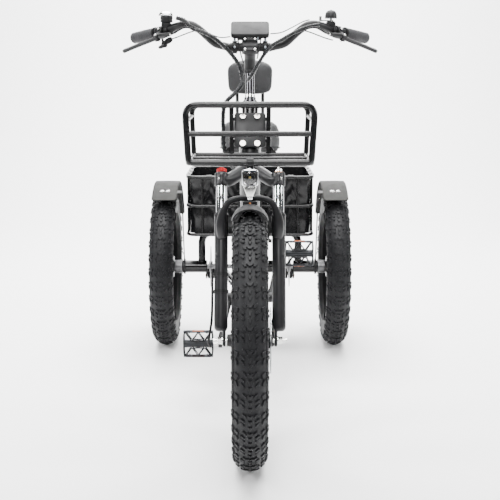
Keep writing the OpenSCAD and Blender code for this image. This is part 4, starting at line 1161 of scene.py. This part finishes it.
def left_controls():
    """Gear shifter with its clear dome, thumb throttle and shift lever, on the rider's right."""
    case = Shape()
    base = moved(at(-238, 304, 1201)) @ turned(0, -90, 0)
    case.turn([(0, 0.1), (0, 15.5), (1.5, 17.5), (6, 17.5), (7, 16.6), (8.4, 16.6), (9.4, 17.8), (16, 17.8),
               (18, 16.4), (18, 0.1)], base, 48, closed=False)
    case.turn([(-31, 11.5), (-31, 14.2), (-29.5, 15), (-18.5, 15), (-17, 14.2), (-17, 11.5)], BAR_R, 40)
    case.rod(at(-236, 304, 1193.5), at(-238, 304, 1202), 5)
    case.block(at(-253, 292, 1186), at(-225, 316, 1203), 6)
    case.turn([(0, 0.1), (0, 11), (1.4, 12.4), (9, 12.4), (10.4, 11), (10.4, 0.1)],
              BAR_R @ moved(-24, -22, -16.4) @ turned(0, 90, 0), 36, closed=False)
    make("shifter_case", case, "steering", PLASTIC, ["shifter"])
    dome = Shape()
    dome.turn([(18.3, 0.1), (18.3, 20.6), (20, 21), (24, 19.8), (28.5, 16.4), (31.4, 10.5), (32.4, 4),
               (32.5, 0.1)],
              base @ moved(0, 0, 2), 48, closed=False)
    make("shifter_dome", dome, "steering", DOME)
    dial = Shape()
    dial.turn([(18.4, 0.1), (18.4, 14), (19, 15), (20.4, 15), (20.8, 12), (20.8, 0.1)], base @ moved(0, 0, 2),
              36,
              closed=False)
    for k in range(7):
        a = math.radians(-60 + 20 * k)
        dial.rod((20.6, 9 * math.sin(a), 9 * math.cos(a)), (21.4, 9 * math.sin(a), 9 * math.cos(a)), 0.9,
                 base @ moved(0, 0, 2), 10)
    make("shifter_dial", dial, "steering", MIRROR)
    paddle = Shape()
    turn = BAR_R @ moved(-24, -22, -24)
    paddle.turn([(-8, 0.1), (-8, 5.4), (-7, 6), (-0.6, 6), (0, 5.4), (0, 0.1)], turn @ turned(0, 90, 0), 28,
                closed=False)
    blade = [(-5, 0), (-4.6, -22), (-7, -28), (-6.4, -35), (0, -37), (10, -36), (15, -33), (15.4, -27),
             (9, -24),
             (5, -20), (5, 0)]
    paddle.plate(blade, 1, 7, 1.4, turn, 3)
    for k in range(4):
        paddle.rod((-3 + 4.4 * k, -27, 7), (-2 + 4.4 * k, -34.5, 7), 0.8, turn, 8)
    make("shift_paddle_blade", paddle, "shift_paddle", PLASTIC, ["shift_lever"])
    thumb = Shape()
    pivot = BAR_R @ moved(13, 0, 0)
    thumb.turn([(-3, 11.4), (-3, 13.8), (-2, 14.5), (2, 14.5), (3, 13.8), (3, 11.4)], pivot, 40)
    down = pivot @ turned(-20, 0, 0)
    thumb.sweep(curve([(0, 0, -13), (0, -0.5, -20), (0, -1, -27), (0, -1, -34)], 3),
                [3.6, 3.5, 3.4, 3.4, 3.4, 3.5, 3.8, 4.2, 4.6, 5], down, sides=16, up=(0, 1, 0))
    thumb.turn([(-6, 0.1), (-6, 7), (-4.6, 8.5), (4.6, 8.5), (6, 7), (6, 0.1)], down @ moved(0, 0, -38), 32,
               closed=False)
    make("throttle_thumb_paddle", thumb, "throttle_paddle", PLASTIC, ["throttle_lever"])


def bell():
    foot = moved(at(230, 294, 0)) @ turned(0, -90, 0)
    cup = Shape()
    cup.turn([(1212, 15.2), (1212, 17.5), (1213.5, 17.6), (1220, 17), (1227, 15.2), (1232, 11.4), (1234.4, 6),
              (1235, 0.1), (1232.6, 0.1), (1231, 6), (1228.6,
                                                      10), (1224, 13.6), (1218, 15)], foot, 48, closed=False)
    make("bell_cup", cup, "steering", SATIN_BLACK, ["bell"])
    fittings = Shape()
    fittings.turn([(1198, 3.4), (1199, 3.6), (1232, 3.6), (1235.6, 3.4), (1236, 2), (1236, 0.1)], foot, 20,
                  closed=False)
    fittings.turn([(1211.4, 17.3), (1211.4, 18.3), (1213.6, 18.3), (1213.6, 17.3)], foot, 48)
    make("bell_chrome_band", fittings, "steering", CHROME)
    clamp = Shape()
    clamp.turn([(-30, 11.5), (-30, 14.4), (-29, 15), (-19, 15), (-18, 14.4), (-18, 11.5)], BAR, 40)
    clamp.rod(at(233, 305, 1195), at(230, 295, 1200), 3.5)
    clamp.block(at(216, 288, 1184), at(244, 314, 1205), 7)
    make("bell_clamp", clamp, "steering", PLASTIC)


def display():
    lean = moved(at(0, 268, 1178)) @ turned(-50, 0, 0)
    shell = Shape()
    shell.plate(round_box(108, 60, 9, 6), -6, 9, 2.6, lean @ turned(90, 0, 0), 3)
    shell.plate(round_box(100, 52, 7, 6), -9, -5, 1.6, lean @ turned(90, 0, 0), 2)
    make("display_housing", shell, "steering", PLASTIC, ["display"])
    glass = Shape()
    glass.plate(round_box(88, 44, 4, 5), -9.6, -8.8, 0.3, lean @ turned(90, 0, 0))
    make("display_screen", glass, "steering", SCREEN)
    arms = Shape()
    for side in BOTH:
        arms.turn([(36, 12.9), (36, 17), (37.5, 18), (48.5, 18), (50, 17), (50, 12.9)],
                  side @ moved(at(0, 262, 1131)), 40)
    make("display_clamps", arms, "steering", PLASTIC)
    bridge = Shape()
    for side in BOTH:
        path = rounded([at(43, 258, 1144), at(43, 256, 1166), at(43, 262, 1178)], 8, 4)
        bridge.sweep(path, 4.5, side, sides=18, flat=0.8, up=(1, 0, 0), power=0.7)
        bridge.bolt((0, 0, 0), 3.4, 3, side @ moved(at(43, 244.6, 1131)) @ turned(0, 0, -90))
    hook = [(14, 262, 1172), (16, 250, 1170), (22, 246, 1163), (22, 246, 1154), (18, 248, 1150)]
    bridge.sweep(curve([at(*p) for p in hook], 5), 1.7, sides=10)
    make("display_bracket", bridge, "steering", BRACKET_GREY)
    box = Shape()
    box.plate(round_box(70, 18, 4, 4), -13, 0, 1.8, moved(at(-2, 248, 1159)) @ turned(90, 0, 0), 3)
    for side in BOTH:
        box.block(at(52, 250, 1124), at(64, 262, 1138), 2, side)
    make("control_box", box, "steering", PLASTIC)
    seal = Shape()
    seal.turn([(0, 5.4), (1.6, 4.8), (1.6, 0.1)], moved(at(0, 247.6, 1158)) @ turned(0, 0, -90) @
              Matrix.Diagonal((1, 1.5, 0.8, 1)), 28, closed=False)
    make("control_box_key", seal, "steering", BOLT)
    spare = Shape()
    spare.rod(at(-34, 254, 1151), at(-30, 250, 1128), 2.2)
    spare.sweep(curve([at(-30, 250, 1128), at(-26, 244, 1112), at(-22, 240, 1098), at(-18, 236, 1086)], 5), 2,
                sides=10)
    spare.sweep(curve([at(30, 254, 1151), at(28, 246, 1136), at(24, 240, 1118), at(20, 234, 1098)], 5), 2,
                sides=10)
    make("display_leads", spare, "steering", CABLE)


def wrapped(shape, path, radius, pitch=7.0):
    """A bundle of cables in a spiral wrap: a tube with a flat band wound round it."""
    shape.sweep(path, radius * 0.82, sides=14)
    length, band = 0.0, []
    side = Vector((0.31, 0.9, 0.2)).normalized()
    for i, p in enumerate(path):
        ahead = (path[min(i + 1, len(path) - 1)] - path[max(i - 1, 0)]).normalized()
        side = (side - ahead * side.dot(ahead)).normalized()
        if i:
            length += (p - path[i - 1]).length
        a = 2 * math.pi * length / pitch
        band.append(p + radius * 0.86 * (math.cos(a) * side + math.sin(a) * ahead.cross(side)))
    shape.sweep(band, radius * 0.22, sides=8)


def dense(points, step):
    """Points of a smooth curve about step apart."""
    fine = curve(points, 24)
    path, gone = [fine[0]], 0.0
    for p, q in zip(fine, fine[1:]):
        gone += (q - p).length
        if gone >= step:
            path.append(q)
            gone = 0.0
    return path


HARNESS_LEFT = [(-206, 250, 1211), (-184, 245, 1204), (-162, 241, 1183), (-131, 238, 1172), (-98, 237, 1154),
                (-72, 236, 1132), (-46, 236, 1104), (-28, 234, 1074), (-22, 228, 1046), (-24, 222, 1026),
                (-42, 214, 1004), (-66, 208, 980), (-75, 206, 950), (-75, 206, 900), (-74, 207,
                                                                                      860), (-68, 216, 826),
                (-52, 248, 796), (-42, 284, 778), (-34, 308, 768)]
HARNESS_RIGHT = [(195, 249, 1193), (159, 243, 1186), (126, 239, 1172), (90, 237, 1152), (62, 236, 1135),
                 (38, 235, 1108), (20, 233, 1080), (6, 230, 1056), (-6, 226, 1038)]


def cable_harness():
    for name, route, radius in (("harness_left_bundle", HARNESS_LEFT, 6.8),
                                ("harness_right_bundle", HARNESS_RIGHT, 5.8)):
        shape = Shape()
        wrapped(shape, dense([at(*p) for p in route], 0.9), radius)
        mesh_piece = make(name, shape, "steering", WRAP,
                          ["cable_harness"] if name.startswith("harness_left") else ())
        mesh_piece.parent = None
        del mesh_piece["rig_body"]
        if name.startswith("harness_left"):
            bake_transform(mesh_piece)
        else:
            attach(mesh_piece, "steering")
    leads = Shape()
    for side, place in ((1, BAR), (-1, BAR_R)):
        lever = place @ Vector((-74, -29, 1))
        target = at(side * 150, 239, 1178)
        mid = (lever + target) / 2 + Vector((0, -14, 10))
        leads.sweep(curve([lever, mid, target, at(side * 128, 236, 1170)], 8), 2.5, sides=10)
        low = place @ Vector((-24, -24, -18))
        leads.sweep(curve([low, low + Vector((-side * 24, -16, 6)), at(side * 152, 246, 1176),
                           at(side * 126, 243, 1166)],
                          8), 1.9, sides=10)
    leads.sweep(curve([at(-232, 296, 1192), at(-214, 268, 1196), at(-190, 252, 1198), at(-168, 246, 1186)],
                      8), 2,
                sides=10)
    for route in (((-206, 246, 1212), (-172, 238, 1194), (-127, 240, 1174), (-86, 246, 1158),
                   (-56, 254, 1160)),
                  ((57, 254, 1168), (87, 246, 1171), (116, 242, 1184), (147, 240, 1200), (166, 246, 1206))):
        leads.sweep(curve([at(*p) for p in route], 8), 1.7, sides=8)
    make("control_leads", leads, "steering", CABLE)


stem_and_bar()
grips()
brake_perches()
brake_levers()
left_controls()
bell()
display()
cable_harness()

# ---------- drive ----------

CHAIN_X = -50
PULLEY_R = 22.2
CHAIN_WHEELS = ((BB.y, BB.z, 88.9), (REAR_Y - 17.5, REAR_R - 131, PULLEY_R),
                (REAR_Y + 4.5, REAR_R - 74, -PULLEY_R),
                (REAR_Y, REAR_R, 40.4))
PITCH = 12.7


def chain_path():
    """Points a pitch apart round the four wheels; a negative radius is a wheel passed clockwise."""
    def run(i):
        a, b = CHAIN_WHEELS[i % 4], CHAIN_WHEELS[(i + 1) % 4]
        dy, dz = b[0] - a[0], b[1] - a[1]
        length = math.sqrt(dy * dy + dz * dz - (b[2] - a[2]) ** 2)
        return math.atan2(dz, dy) - math.atan2(b[2] - a[2], length)
    line = []
    for i in range(4):
        y, z, r = CHAIN_WHEELS[i]
        sign = 1 if r > 0 else -1
        turn = (sign * (run(i) - run(i - 1))) % (2 * math.pi)
        start = run(i - 1) - sign * math.pi / 2
        for k in range(25):
            a = start + sign * turn * k / 24
            line.append(Vector((CHAIN_X, y + abs(r) * math.cos(a), z + abs(r) * math.sin(a))))
    line.append(line[0])
    total = sum((q - p).length for p, q in zip(line, line[1:]))
    count = 2 * round(total / PITCH / 2)
    step, points, gone, due = total / count, [], 0.0, 0.0
    for p, q in zip(line, line[1:]):
        length = (q - p).length
        while due < gone + length and len(points) < count:
            points.append(p + (q - p) * ((due - gone) / length))
            due += step
        gone += length
    return points


def chain():
    shape = Shape()
    pins = chain_path()
    for i, p in enumerate(pins):
        q = pins[(i + 1) % len(pins)]
        step = q - p
        turn = moved(p) @ Matrix.Rotation(math.atan2(step.z, step.y), 4, "X") @ turned(90, 0, 90)
        half = step.length / 2
        waist = 2.6
        outline = arc((0, 0), 3.9, 130, 230, 5) + [(half, -waist)]
        outline += arc((2 * half, 0), 3.9, -50, 50, 5) + [(half, waist)]
        offset = 2.5 if i % 2 else 1.7
        for x in (-offset, offset):
            shape.plate(outline, x - 0.4, x + 0.4, 0, turn)
        shape.rod((0, 0, -3.1), (0, 0, 3.1), 1.7, turn, 8)
    make("chain_links", shape, "frame", CHAIN_STEEL, ["chain"])


def cranks():
    for name, node, side, sign, extra in (("crank_right_forging", "crank_arm_right", FLIP, -1, True),
                                          ("crank_left_forging", "crank_arm_left", HERE, 1, False)):
        place = moved(BB) @ side @ Matrix.Rotation(CRANK_ANGLE + (0 if extra else math.pi), 4, "X")
        shape = Shape()
        shape.turn([(59, 8.5), (59, 14.5), (61, 17), (74, 16.5), (77, 13), (77, 8.5)], place, 40)
        path = curve([(68, 2, 0), (72, -24, 0), (79, -62, 0), (86, -100, 0), (93, -140, 0), (97, -170, 0)], 5)
        sizes = [13.4 - 4.6 * math.sin(math.pi * i / (len(path) - 1)) ** 0.7 for i in range(len(path))]
        shape.sweep(path, sizes, place, sides=18, flat=0.62, up=(0, 0, 1), power=0.8)
        shape.turn([(90, 7.4), (90, 12.4), (92, 13.4), (102, 13.4), (104, 12), (104, 7.4)],
                   place @ moved(0, -170, 0), 36)
        if extra:
            for k in range(5):
                spider = moved(BB) @ Matrix.Rotation(math.radians(72 * k + 14), 4, "X")
                shape.sweep([(-55, 0, 8), (-54.6, 0, 20), (-54.4, 0, 34)], [8, 6.4, 5], spider, sides=12,
                            flat=0.45,
                            up=(1, 0, 0))
        make(name, shape, "crank", SATIN_BLACK, [node], voxel=1.2, smooth=3)
        fittings = Shape()
        fittings.turn([(76.5, 8), (78.5, 7.4), (78.5, 4.6), (75, 4), (75, 0.1)], moved(BB) @ side, 28,
                      closed=False)
        if extra:
            fittings.rod((-62, 0, 0), (59, 0, 0), 8.5, moved(BB))
            for k in range(5):
                fittings.bolt((0, 0, 0), 4.4, 2.4,
                              moved(BB) @ Matrix.Rotation(math.radians(72 * k + 14), 4, "X")
                              @ moved(-56.6, 0, 31) @ Matrix.Scale(-1, 4, X))
        make(f"crank_fittings_{'right' if extra else 'left'}", fittings, "crank", BOLT)


def pedals():
    for name, node, body, side, sign in (("pedal_left_cage", "pedal_left", "left_pedal", HERE, 1),
                                         ("pedal_right_cage", "pedal_right", "right_pedal", FLIP, -1)):
        place = moved(BB + sign * CRANK_STEP) @ side
        cage = Shape()
        for y in (-11, 11):
            frame_line = [(124, y * 0.72, 41), (214, y * 0.72, 41), (216, y, 26), (216, y, -26),
                          (214, y * 0.72, -41),
                          (124, y * 0.72, -41), (122, y, -26), (122, y, 26)]
            cage.sweep(rounded(frame_line, 7, 3, closed=True), 2.6, place, sides=10, closed=True, flat=1.0)
        for x in (123, 146, 169, 192, 215):
            for z in (-41, 41):
                cage.block((x - 2.2, -9, z - 2.2), (x + 2.2, 9, z + 2.2), 0.8, place)
        for z in (-1, 1):
            for y in (-9, 9):
                brace = [(128, y, z * 39), (146, y * 1.1, z * 13), (169, y * 1.15, z * 11),
                         (192, y * 1.1, z * 13),
                         (210, y, z * 39)]
                cage.sweep(brace, 2.4, place, sides=8)
                cage.sweep([(150, y, z * 12), (169, y, z * 39), (188, y, z * 12)], 2.2, place, sides=8)
        cage.turn([(121, 7.2), (121, 12.6), (124, 13.4), (146, 11.4), (192, 11.4), (213, 12.8), (217, 12),
                   (217, 7)],
                  place, 36)
        for z in (-38, -14, 14, 38):
            for x in (140, 198):
                for y in (-1, 1):
                    cage.rod((x, y * 8, z), (x, y * 13.4, z), 1.5, place, 8)
        make(name, cage, body, PEDAL_ALLOY, [node], angle=42)
        spindle = Shape()
        spindle.rod((92, 0, 0), (122, 0, 0), 6.6, place)
        spindle.turn([(106, 6), (106, 8.8), (111, 8.8), (111, 6)], place, 6)
        spindle.turn([(216.6, 9), (218.4, 8), (218.8, 3), (218.8, 0.1)], place, 28, closed=False)
        make(f"{body}_spindle", spindle, body, BOLT)
        glow = Shape()
        for z in (-1, 1):
            glow.block((150, -7, z * 43.4 - 1.3), (188, 7, z * 43.4 + 1.3), 1, place)
        make(f"{body}_reflectors", glow, body, AMBER)


def battery():
    shape = Shape()
    lift = SEAT @ moved(0, 72, 0)
    shape.plate(round_box(82, 94, 13, 6), 178, 350, 3, lift, 3)
    shape.plate(round_box(66, 78, 11, 6), 349, 360, 2.4, lift, 3)
    for s in (204, 214, 224, 304, 314, 324):
        shape.plate(round_box(83.6, 95.6, 13.5, 6), s, s + 4, 1.2, lift)
    shape.sweep(rounded([(-22, 0, 358), (-22, 0, 360), (22, 0, 360), (22, 0, 358)], 4), 3, lift, sides=12)
    make("battery_case", shape, "frame", PLASTIC, ["battery"])
    lock = Shape()
    lock.turn([(40, 9), (43, 8.6), (43.6, 6), (43.2, 1.4), (41.6, 1.2), (41.6, 0.1)],
              lift @ moved(0, 10, 270), 32,
              closed=False)
    for k in range(4):
        lock.rod((40.6, 24, 250 + 8 * k), (41.8, 24, 250 + 8 * k), 1.6, lift, 10)
    make("battery_lock", lock, "frame", BOLT)


def controller():
    shape = Shape()
    shape.block(at(-22, 1085, 398), at(44, 1203, 434), 3)
    for k in range(10):
        shape.block(at(-21, 1090 + 11 * k, 392), at(43, 1094 + 11 * k, 399), 1)
    for x in (-14, 36):
        for d in (1091, 1197):
            shape.bolt((0, 0, 0), 3.6, 2.6, moved(at(x, d, 434)) @ turned(0, -90, 0))
    make("controller_case", shape, "frame", satin("controller alloy", (0.06, 0.062, 0.066), 0.4, metal=0.7),
         ["controller"])


def headlight():
    body = moved(at(0, -75, 0))
    shell = Shape()
    front = [(-21, 779), (-19, 777), (19, 777), (21, 779), (21, 813), (17, 817), (-17, 817), (-21, 813)]
    shell.plate(front, -14, 4, 2.2, body @ turned(90, 0, 0), 3)
    shell.plate([(x * 0.8, 798 + (z - 798) * 0.8) for x, z in front], -14.5, -8, 3, body @ turned(90, 0, 0),
                3)
    shell.sweep([(x * 0.94, -4, z) for x, z in round_frame(797, 19.5, 19.5, 6)], 2.6, body, closed=True,
                sides=10)
    shell.ball((0, -4, 745.6), 6.6, body)
    shell.block((-9, 4, 806), (9, 29, 821), 2, body)
    make("lamp_shell", shell, "frame", CHROME, ["headlight"])
    skirt = Shape()
    skirt.plate([(-17, 776), (-7.5, 749), (7.5, 749), (17, 776)], -8, 13, 3.4, body @ turned(90, 0, 0), 3)
    make("lamp_skirt", skirt, "frame", BOLT)
    bowl = Shape()
    turn = body @ moved(0, 0, 798) @ turned(0, 0, -90)
    bowl.turn([(5, 17.4), (8.5, 17.4), (17.6, 17.8), (17.6, 16), (12, 13), (7.6, 8), (6.4, 0.1), (5, 0.1)],
              turn, 40,
              closed=False)
    make("lamp_bowl", bowl, "frame", SATIN_BLACK)
    chip = Shape()
    chip.turn([(6.6, 3.4), (8.6, 3), (9.2, 1.6), (9.2, 0.1)], turn, 20, closed=False)
    make("lamp_chip", chip, "frame", GLOW)
    lens = Shape()
    lens.turn([(17.2, 16.4), (19, 16.2), (20.8, 12), (21.6, 6), (21.8, 0.1), (20.6, 0.1), (20.4, 6),
               (19.6, 11.4),
               (18, 15)], turn, 40, closed=False)
    make("lamp_lens", lens, "frame", LENS)
    clamp = Shape()
    clamp.turn([(-9, 8.8), (-9, 12.2), (-8, 13), (8, 13), (9, 12.2), (9, 8.8)], moved(at(0, -50, RACK_LOW)),
               36)
    clamp.block(at(-7, -67, RACK_LOW - 5), at(7, -60, RACK_LOW + 5), 1.5)
    make("lamp_clamp", clamp, "frame", PLASTIC)


def round_frame(z, half_w, half_h, r):
    return [(x, z + y) for x, y in round_box(2 * half_w, 2 * half_h, r, 3)]


# ---------- seat ----------


def seat_frame():
    shape = Shape()
    shape.turn([(180, 12.9), (180, 15.4), (181, 15.9), (466, 15.9), (468, 15), (468, 12.9)],
               SEAT @ turned(0, -90, 0), 40)
    for side in BOTH:
        rail = [at(22, 745, 778), at(22, 790, 768), at(22, 880, 768), at(30, 950, 778)]
        shape.sweep(rounded(rail, 26, 6), 4, side)
        stay = [at(30, 840, 752), at(46, 900, 756), at(46, 1004, 772), at(46, 1046, 830), at(46, 1080, 1080)]
        shape.sweep(rounded(stay, 40, 8), 6, side)
    make("seat_post_and_rails", shape, "seat", SATIN_BLACK, ["seat_post"])
    clamp = Shape()
    clamp.block(at(-25, 800, 742), at(25, 860, 755), 3.5)
    clamp.block(at(-25, 806, 756), at(25, 854, 768.4), 3.5)
    clamp.block(at(-36, 834, 746), at(36, 848, 758), 3)
    make("seat_rail_clamp", clamp, "seat", PLASTIC)
    nuts = Shape()
    for side in (-1, 1):
        nuts.turn([(25, 7), (30, 7), (31, 5), (31, 0.1)], moved(at(0, 830, 755)) @ Matrix.Scale(side, 4, X),
                  6,
                  closed=False)
    make("seat_clamp_nuts", nuts, "seat", BOLT)


def swollen(piece, cap, pressure=4.0, voxel=5.0, pinned=None):
    """Cloth under pressure, with each point's travel held under cap millimetres."""
    remesh = piece.modifiers.new("fine", "REMESH")
    remesh.mode = "VOXEL"
    remesh.voxel_size = voxel * MM
    applied(piece)
    start = [v.co.copy() for v in piece.data.vertices]
    cloth = piece.modifiers.new("cloth", "CLOTH")
    cloth.settings.quality = 5
    cloth.settings.mass = 0.3
    cloth.settings.tension_stiffness = 12
    cloth.settings.compression_stiffness = 12
    cloth.settings.bending_stiffness = 0.6
    cloth.settings.use_pressure = True
    cloth.settings.uniform_pressure_force = pressure
    cloth.settings.effector_weights.gravity = 0
    scene = bpy.context.scene
    scene.frame_start, scene.frame_end = 1, 20
    for step in range(1, 21):
        scene.frame_set(step)
    applied(piece)
    scene.frame_set(1)
    for v, rest in zip(piece.data.vertices, start):
        travel = v.co - rest
        if travel.length > cap * MM:
            v.co = rest + travel.normalized() * cap * MM
    return piece


def divided(piece, levels=1):
    finer = piece.modifiers.new("finer", "SUBSURF")
    finer.levels = finer.render_levels = levels
    return applied(piece)


def ring_loft(rings):
    """Closes a stack of outlines, each with the same count of points, into one form."""
    count = len(rings[0])
    points = [p for ring in rings for p in ring]
    faces = [[i * count + k, i * count + (k + 1) % count, (i + 1) * count + (k + 1) % count,
              (i + 1) * count + k]
             for i in range(len(rings) - 1) for k in range(count)]
    faces += [list(reversed(range(count))), [(len(rings) - 1) * count + k for k in range(count)]]
    return Shape().add(points, faces)


def saddle_outline(scale, lift, steps=56):
    """The saddle from above: a wide two-lobed back that narrows to a round nose."""
    outline = []
    for k in range(steps):
        a = 2 * math.pi * k / steps
        y = -math.cos(a)
        across = math.sin(a)
        t = (y + 1) / 2
        half = 30 + 88 * (1 / (1 + math.exp(-(t - 0.47) * 13)))
        dent = 13 * math.exp(-(across / 0.35) ** 2) * max(y, 0) ** 4
        outline.append(at(half * across * scale * (1 - 0.1 * max(y, 0) ** 3),
                          842 + (133 * y - dent) * (0.985 if scale > 0.9 else scale), lift))
    return outline


def saddle():
    levels = ((0.90, 791), (0.985, 800), (1.0, 815), (0.995, 838), (0.97, 858), (0.9, 876), (0.74, 888),
              (0.45, 893))
    rings = [saddle_outline(scale, z) for scale, z in levels]
    piece = make("saddle_cushion", ring_loft(rings), "seat", SADDLE_SKIN, ["saddle"])
    swollen(piece, 8, voxel=5)
    divided(piece)
    for v in piece.data.vertices:
        p = v.co / MM - Vector((0, FRONT_Y, 0))
        front = max(0.0, min(1.0, (870 - p.y) / 150))
        channel = 7.5 * math.exp(-(p.x / 13) ** 2) * max(0.0, min(1.0, (p.z - 850) / 30))
        seam = 2.2 * math.exp(-((p.z - 836 + 6 * front) / 2.2) ** 2)
        lobe = 1 / (1 + math.exp(-(p.y - 830) / 18))
        sewn = abs(math.hypot(abs(p.x) - 62, (p.y - 900)) - 40)
        stitch = 1.8 * math.exp(-(sewn / 2.4) ** 2) * lobe * (p.z > 860)
        v.co.z -= (channel + stitch + (10 * front ** 2 if p.z > 830 else 0)) * MM
        out = Vector((p.x, p.y - 850, 0))
        if out.length > 1:
            v.co -= out.normalized() * seam * MM
        v.co.z = min(v.co.z, 903.5 * MM)
    shaded(piece.data, 180)
    base = Shape()
    base_rings = [saddle_outline(scale, z) for scale,
                  z in ((0.6, 785), (0.88, 787), (0.93, 791), (0.93, 797))]
    base.points, base.faces = ring_loft(base_rings).points, ring_loft(base_rings).faces
    make("saddle_base_shell", base, "seat", PLASTIC, angle=60)
    piping = Shape()
    line = [Vector((p.x, p.y, 800)) for p in saddle_outline(0.985, 800, 90)]
    piping.sweep(line, 2.4, sides=10, closed=True, up=(0, 0, 1))
    make("saddle_piping", piping, "seat", BACK_SKIN)
    springs = Shape()
    for x in (-52, 52):
        coil = []
        for k in range(97):
            a = 2 * math.pi * k / 16
            coil.append(at(x + 13 * math.cos(a), 925 + 13 * math.sin(a), 760 + 26 * k / 96))
        springs.sweep(coil, 2.2, sides=8)
    springs.sweep([at(-52, 938, 760), at(0, 942, 757), at(52, 938, 760)], 3.4)
    make("saddle_springs", springs, "seat", CHROME)


def backrest():
    """An upright pad with a nearly square outline and small round corners."""
    def outline(scale, depth):
        points = []
        for k in range(60):
            a = 2 * math.pi * k / 60
            c, s = math.cos(a), math.sin(a)
            c, s = math.copysign(abs(c) ** 0.36, c), math.copysign(abs(s) ** 0.36, s)
            half = 80 + 2 * s
            crown = 42 + 17 * (1 - min(1.0, abs(c)) ** 2) if s > 0 else 59
            points.append(at(half * c * scale, depth, 1042 + crown * s * scale))
        return points
    rings = [outline(scale, d) for scale, d in ((0.62, 1012), (0.86, 1014), (0.97, 1021), (1.0, 1032),
                                                (1.0, 1043),
                                                (0.97, 1054), (0.9, 1058), (0.6, 1059))]
    piece = make("backrest_cushion", ring_loft(rings), "seat", BACK_SKIN, ["backrest"])
    swollen(piece, 6, voxel=4.5)
    divided(piece)
    for v in piece.data.vertices:
        p = v.co / MM - Vector((0, FRONT_Y, 1038.5))
        facing = max(0.0, min(1.0, (1034 - p.y) / 14))
        groove = abs(abs(p.x) - 26)
        sewn = 2.4 * math.exp(-(groove / 3) ** 2) * facing * (abs(p.z) < 44)
        rib = 1.5 * math.exp(-((abs(p.z + 6 * math.cos(p.x * 0.03)) - 24) / 3) ** 2) * facing * (abs(p.x) < 26)
        v.co.y += (sewn + rib) * MM
        edge = 1.8 * math.exp(-((p.y - 1038) / 1.9) ** 2)
        out = Vector((p.x, 0, p.z))
        if out.length > 1:
            v.co -= out.normalized() * edge * MM
    shaded(piece.data, 180)
    back = Shape()
    for x in (-46, 46):
        back.block(at(x - 9, 1059, 1008), at(x + 9, 1063.5, 1078), 1.6)
        for z in (1018, 1068):
            back.turn([(0, 4), (1.6, 3.6), (2.2, 0.1)], moved(at(x, 1063.4, z)) @ turned(0, 0, 90), 20,
                      closed=False)
    make("backrest_brackets", back, "seat", SATIN_BLACK)


chain()
cranks()
pedals()
battery()
controller()
headlight()
seat_frame()
saddle()
backrest()

# ---------- studio ----------

WORLD_LIGHT = 0.1
# Each lamp's name, place, aim, size and power
LAMPS = (("top softbox", (0.0, 0.3, 3.3), (0, 0.1, 0), 3.4, 430),
         ("left softbox", (-3.0, -1.0, 2.2), (0, 0, 0.5), 1.0, 90),
         ("right softbox", (3.0, -1.0, 2.2), (0, 0, 0.5), 1.0, 70),
         ("front fill", (-0.5, -4.2, 3.4), (0, -0.6, 0.3), 1.2, 90),
         ("floor light", (0.0, -3.4, 3.8), (0, -2.6, 0), 2.6, 200),
         ("wall light", (0.0, 2.4, 3.8), (0, 4.8, 1.4), 3.4, 760))


def studio():
    """A white sweep of floor and wall, lit by soft boxes."""
    profile = [(-7000, 0), (3200, 0)] + [(3200 + 1600 * math.sin(a), 1600 - 1600 * math.cos(a)) for a in
                                         (math.radians(9 * k) for k in range(1, 11))] + [(4800, 7000)]
    sweep = Shape()
    points = [(x, y, z) for y, z in profile for x in (-7000, 7000)]
    sweep.add(points, [[2 * k, 2 * k + 1, 2 * k + 3, 2 * k + 2] for k in range(len(profile) - 1)])
    mesh = bpy.data.meshes.new("floor")
    mesh.from_pydata([p * MM for p in sweep.points], [], sweep.faces)
    mesh.shade_smooth()
    ground = bpy.data.objects.new("floor", mesh)
    bpy.context.scene.collection.objects.link(ground)
    paint = Paint("floor", (0.94, 0.94, 0.94), 0.75, Specular_IOR_Level=0.2)
    paint.vary(300, 0.05)
    mesh.materials.append(paint.material)
    world = bpy.data.worlds.new("studio")
    bpy.context.scene.world = world
    world.use_nodes = True
    sky = world.node_tree.nodes["Background"]
    sky.inputs["Color"].default_value = (1, 1, 1, 1)
    sky.inputs["Strength"].default_value = WORLD_LIGHT
    for name, place, aim, size, power in LAMPS:
        light = bpy.data.lights.new(name, "AREA")
        light.shape = "DISK"
        light.size = size
        light.energy = power
        lamp = bpy.data.objects.new(name, light)
        lamp.location = place
        lamp.rotation_euler = (Vector(aim) - Vector(place)).to_track_quat("-Z", "Y").to_euler()
        bpy.context.scene.collection.objects.link(lamp)


def camera():
    """The photograph's view: level with the bars and looking a little down."""
    data = bpy.data.cameras.new("camera")
    data.sensor_width = 36
    data.lens = 73.1
    data.clip_start, data.clip_end = 0.05, 60
    seen = bpy.data.objects.new("camera", data)
    seen.location = at(0, -2663, 1075) * MM
    seen.rotation_euler = (math.radians(79.8), 0, 0)
    bpy.context.scene.collection.objects.link(seen)
    bpy.context.scene.camera = seen


studio()
camera()
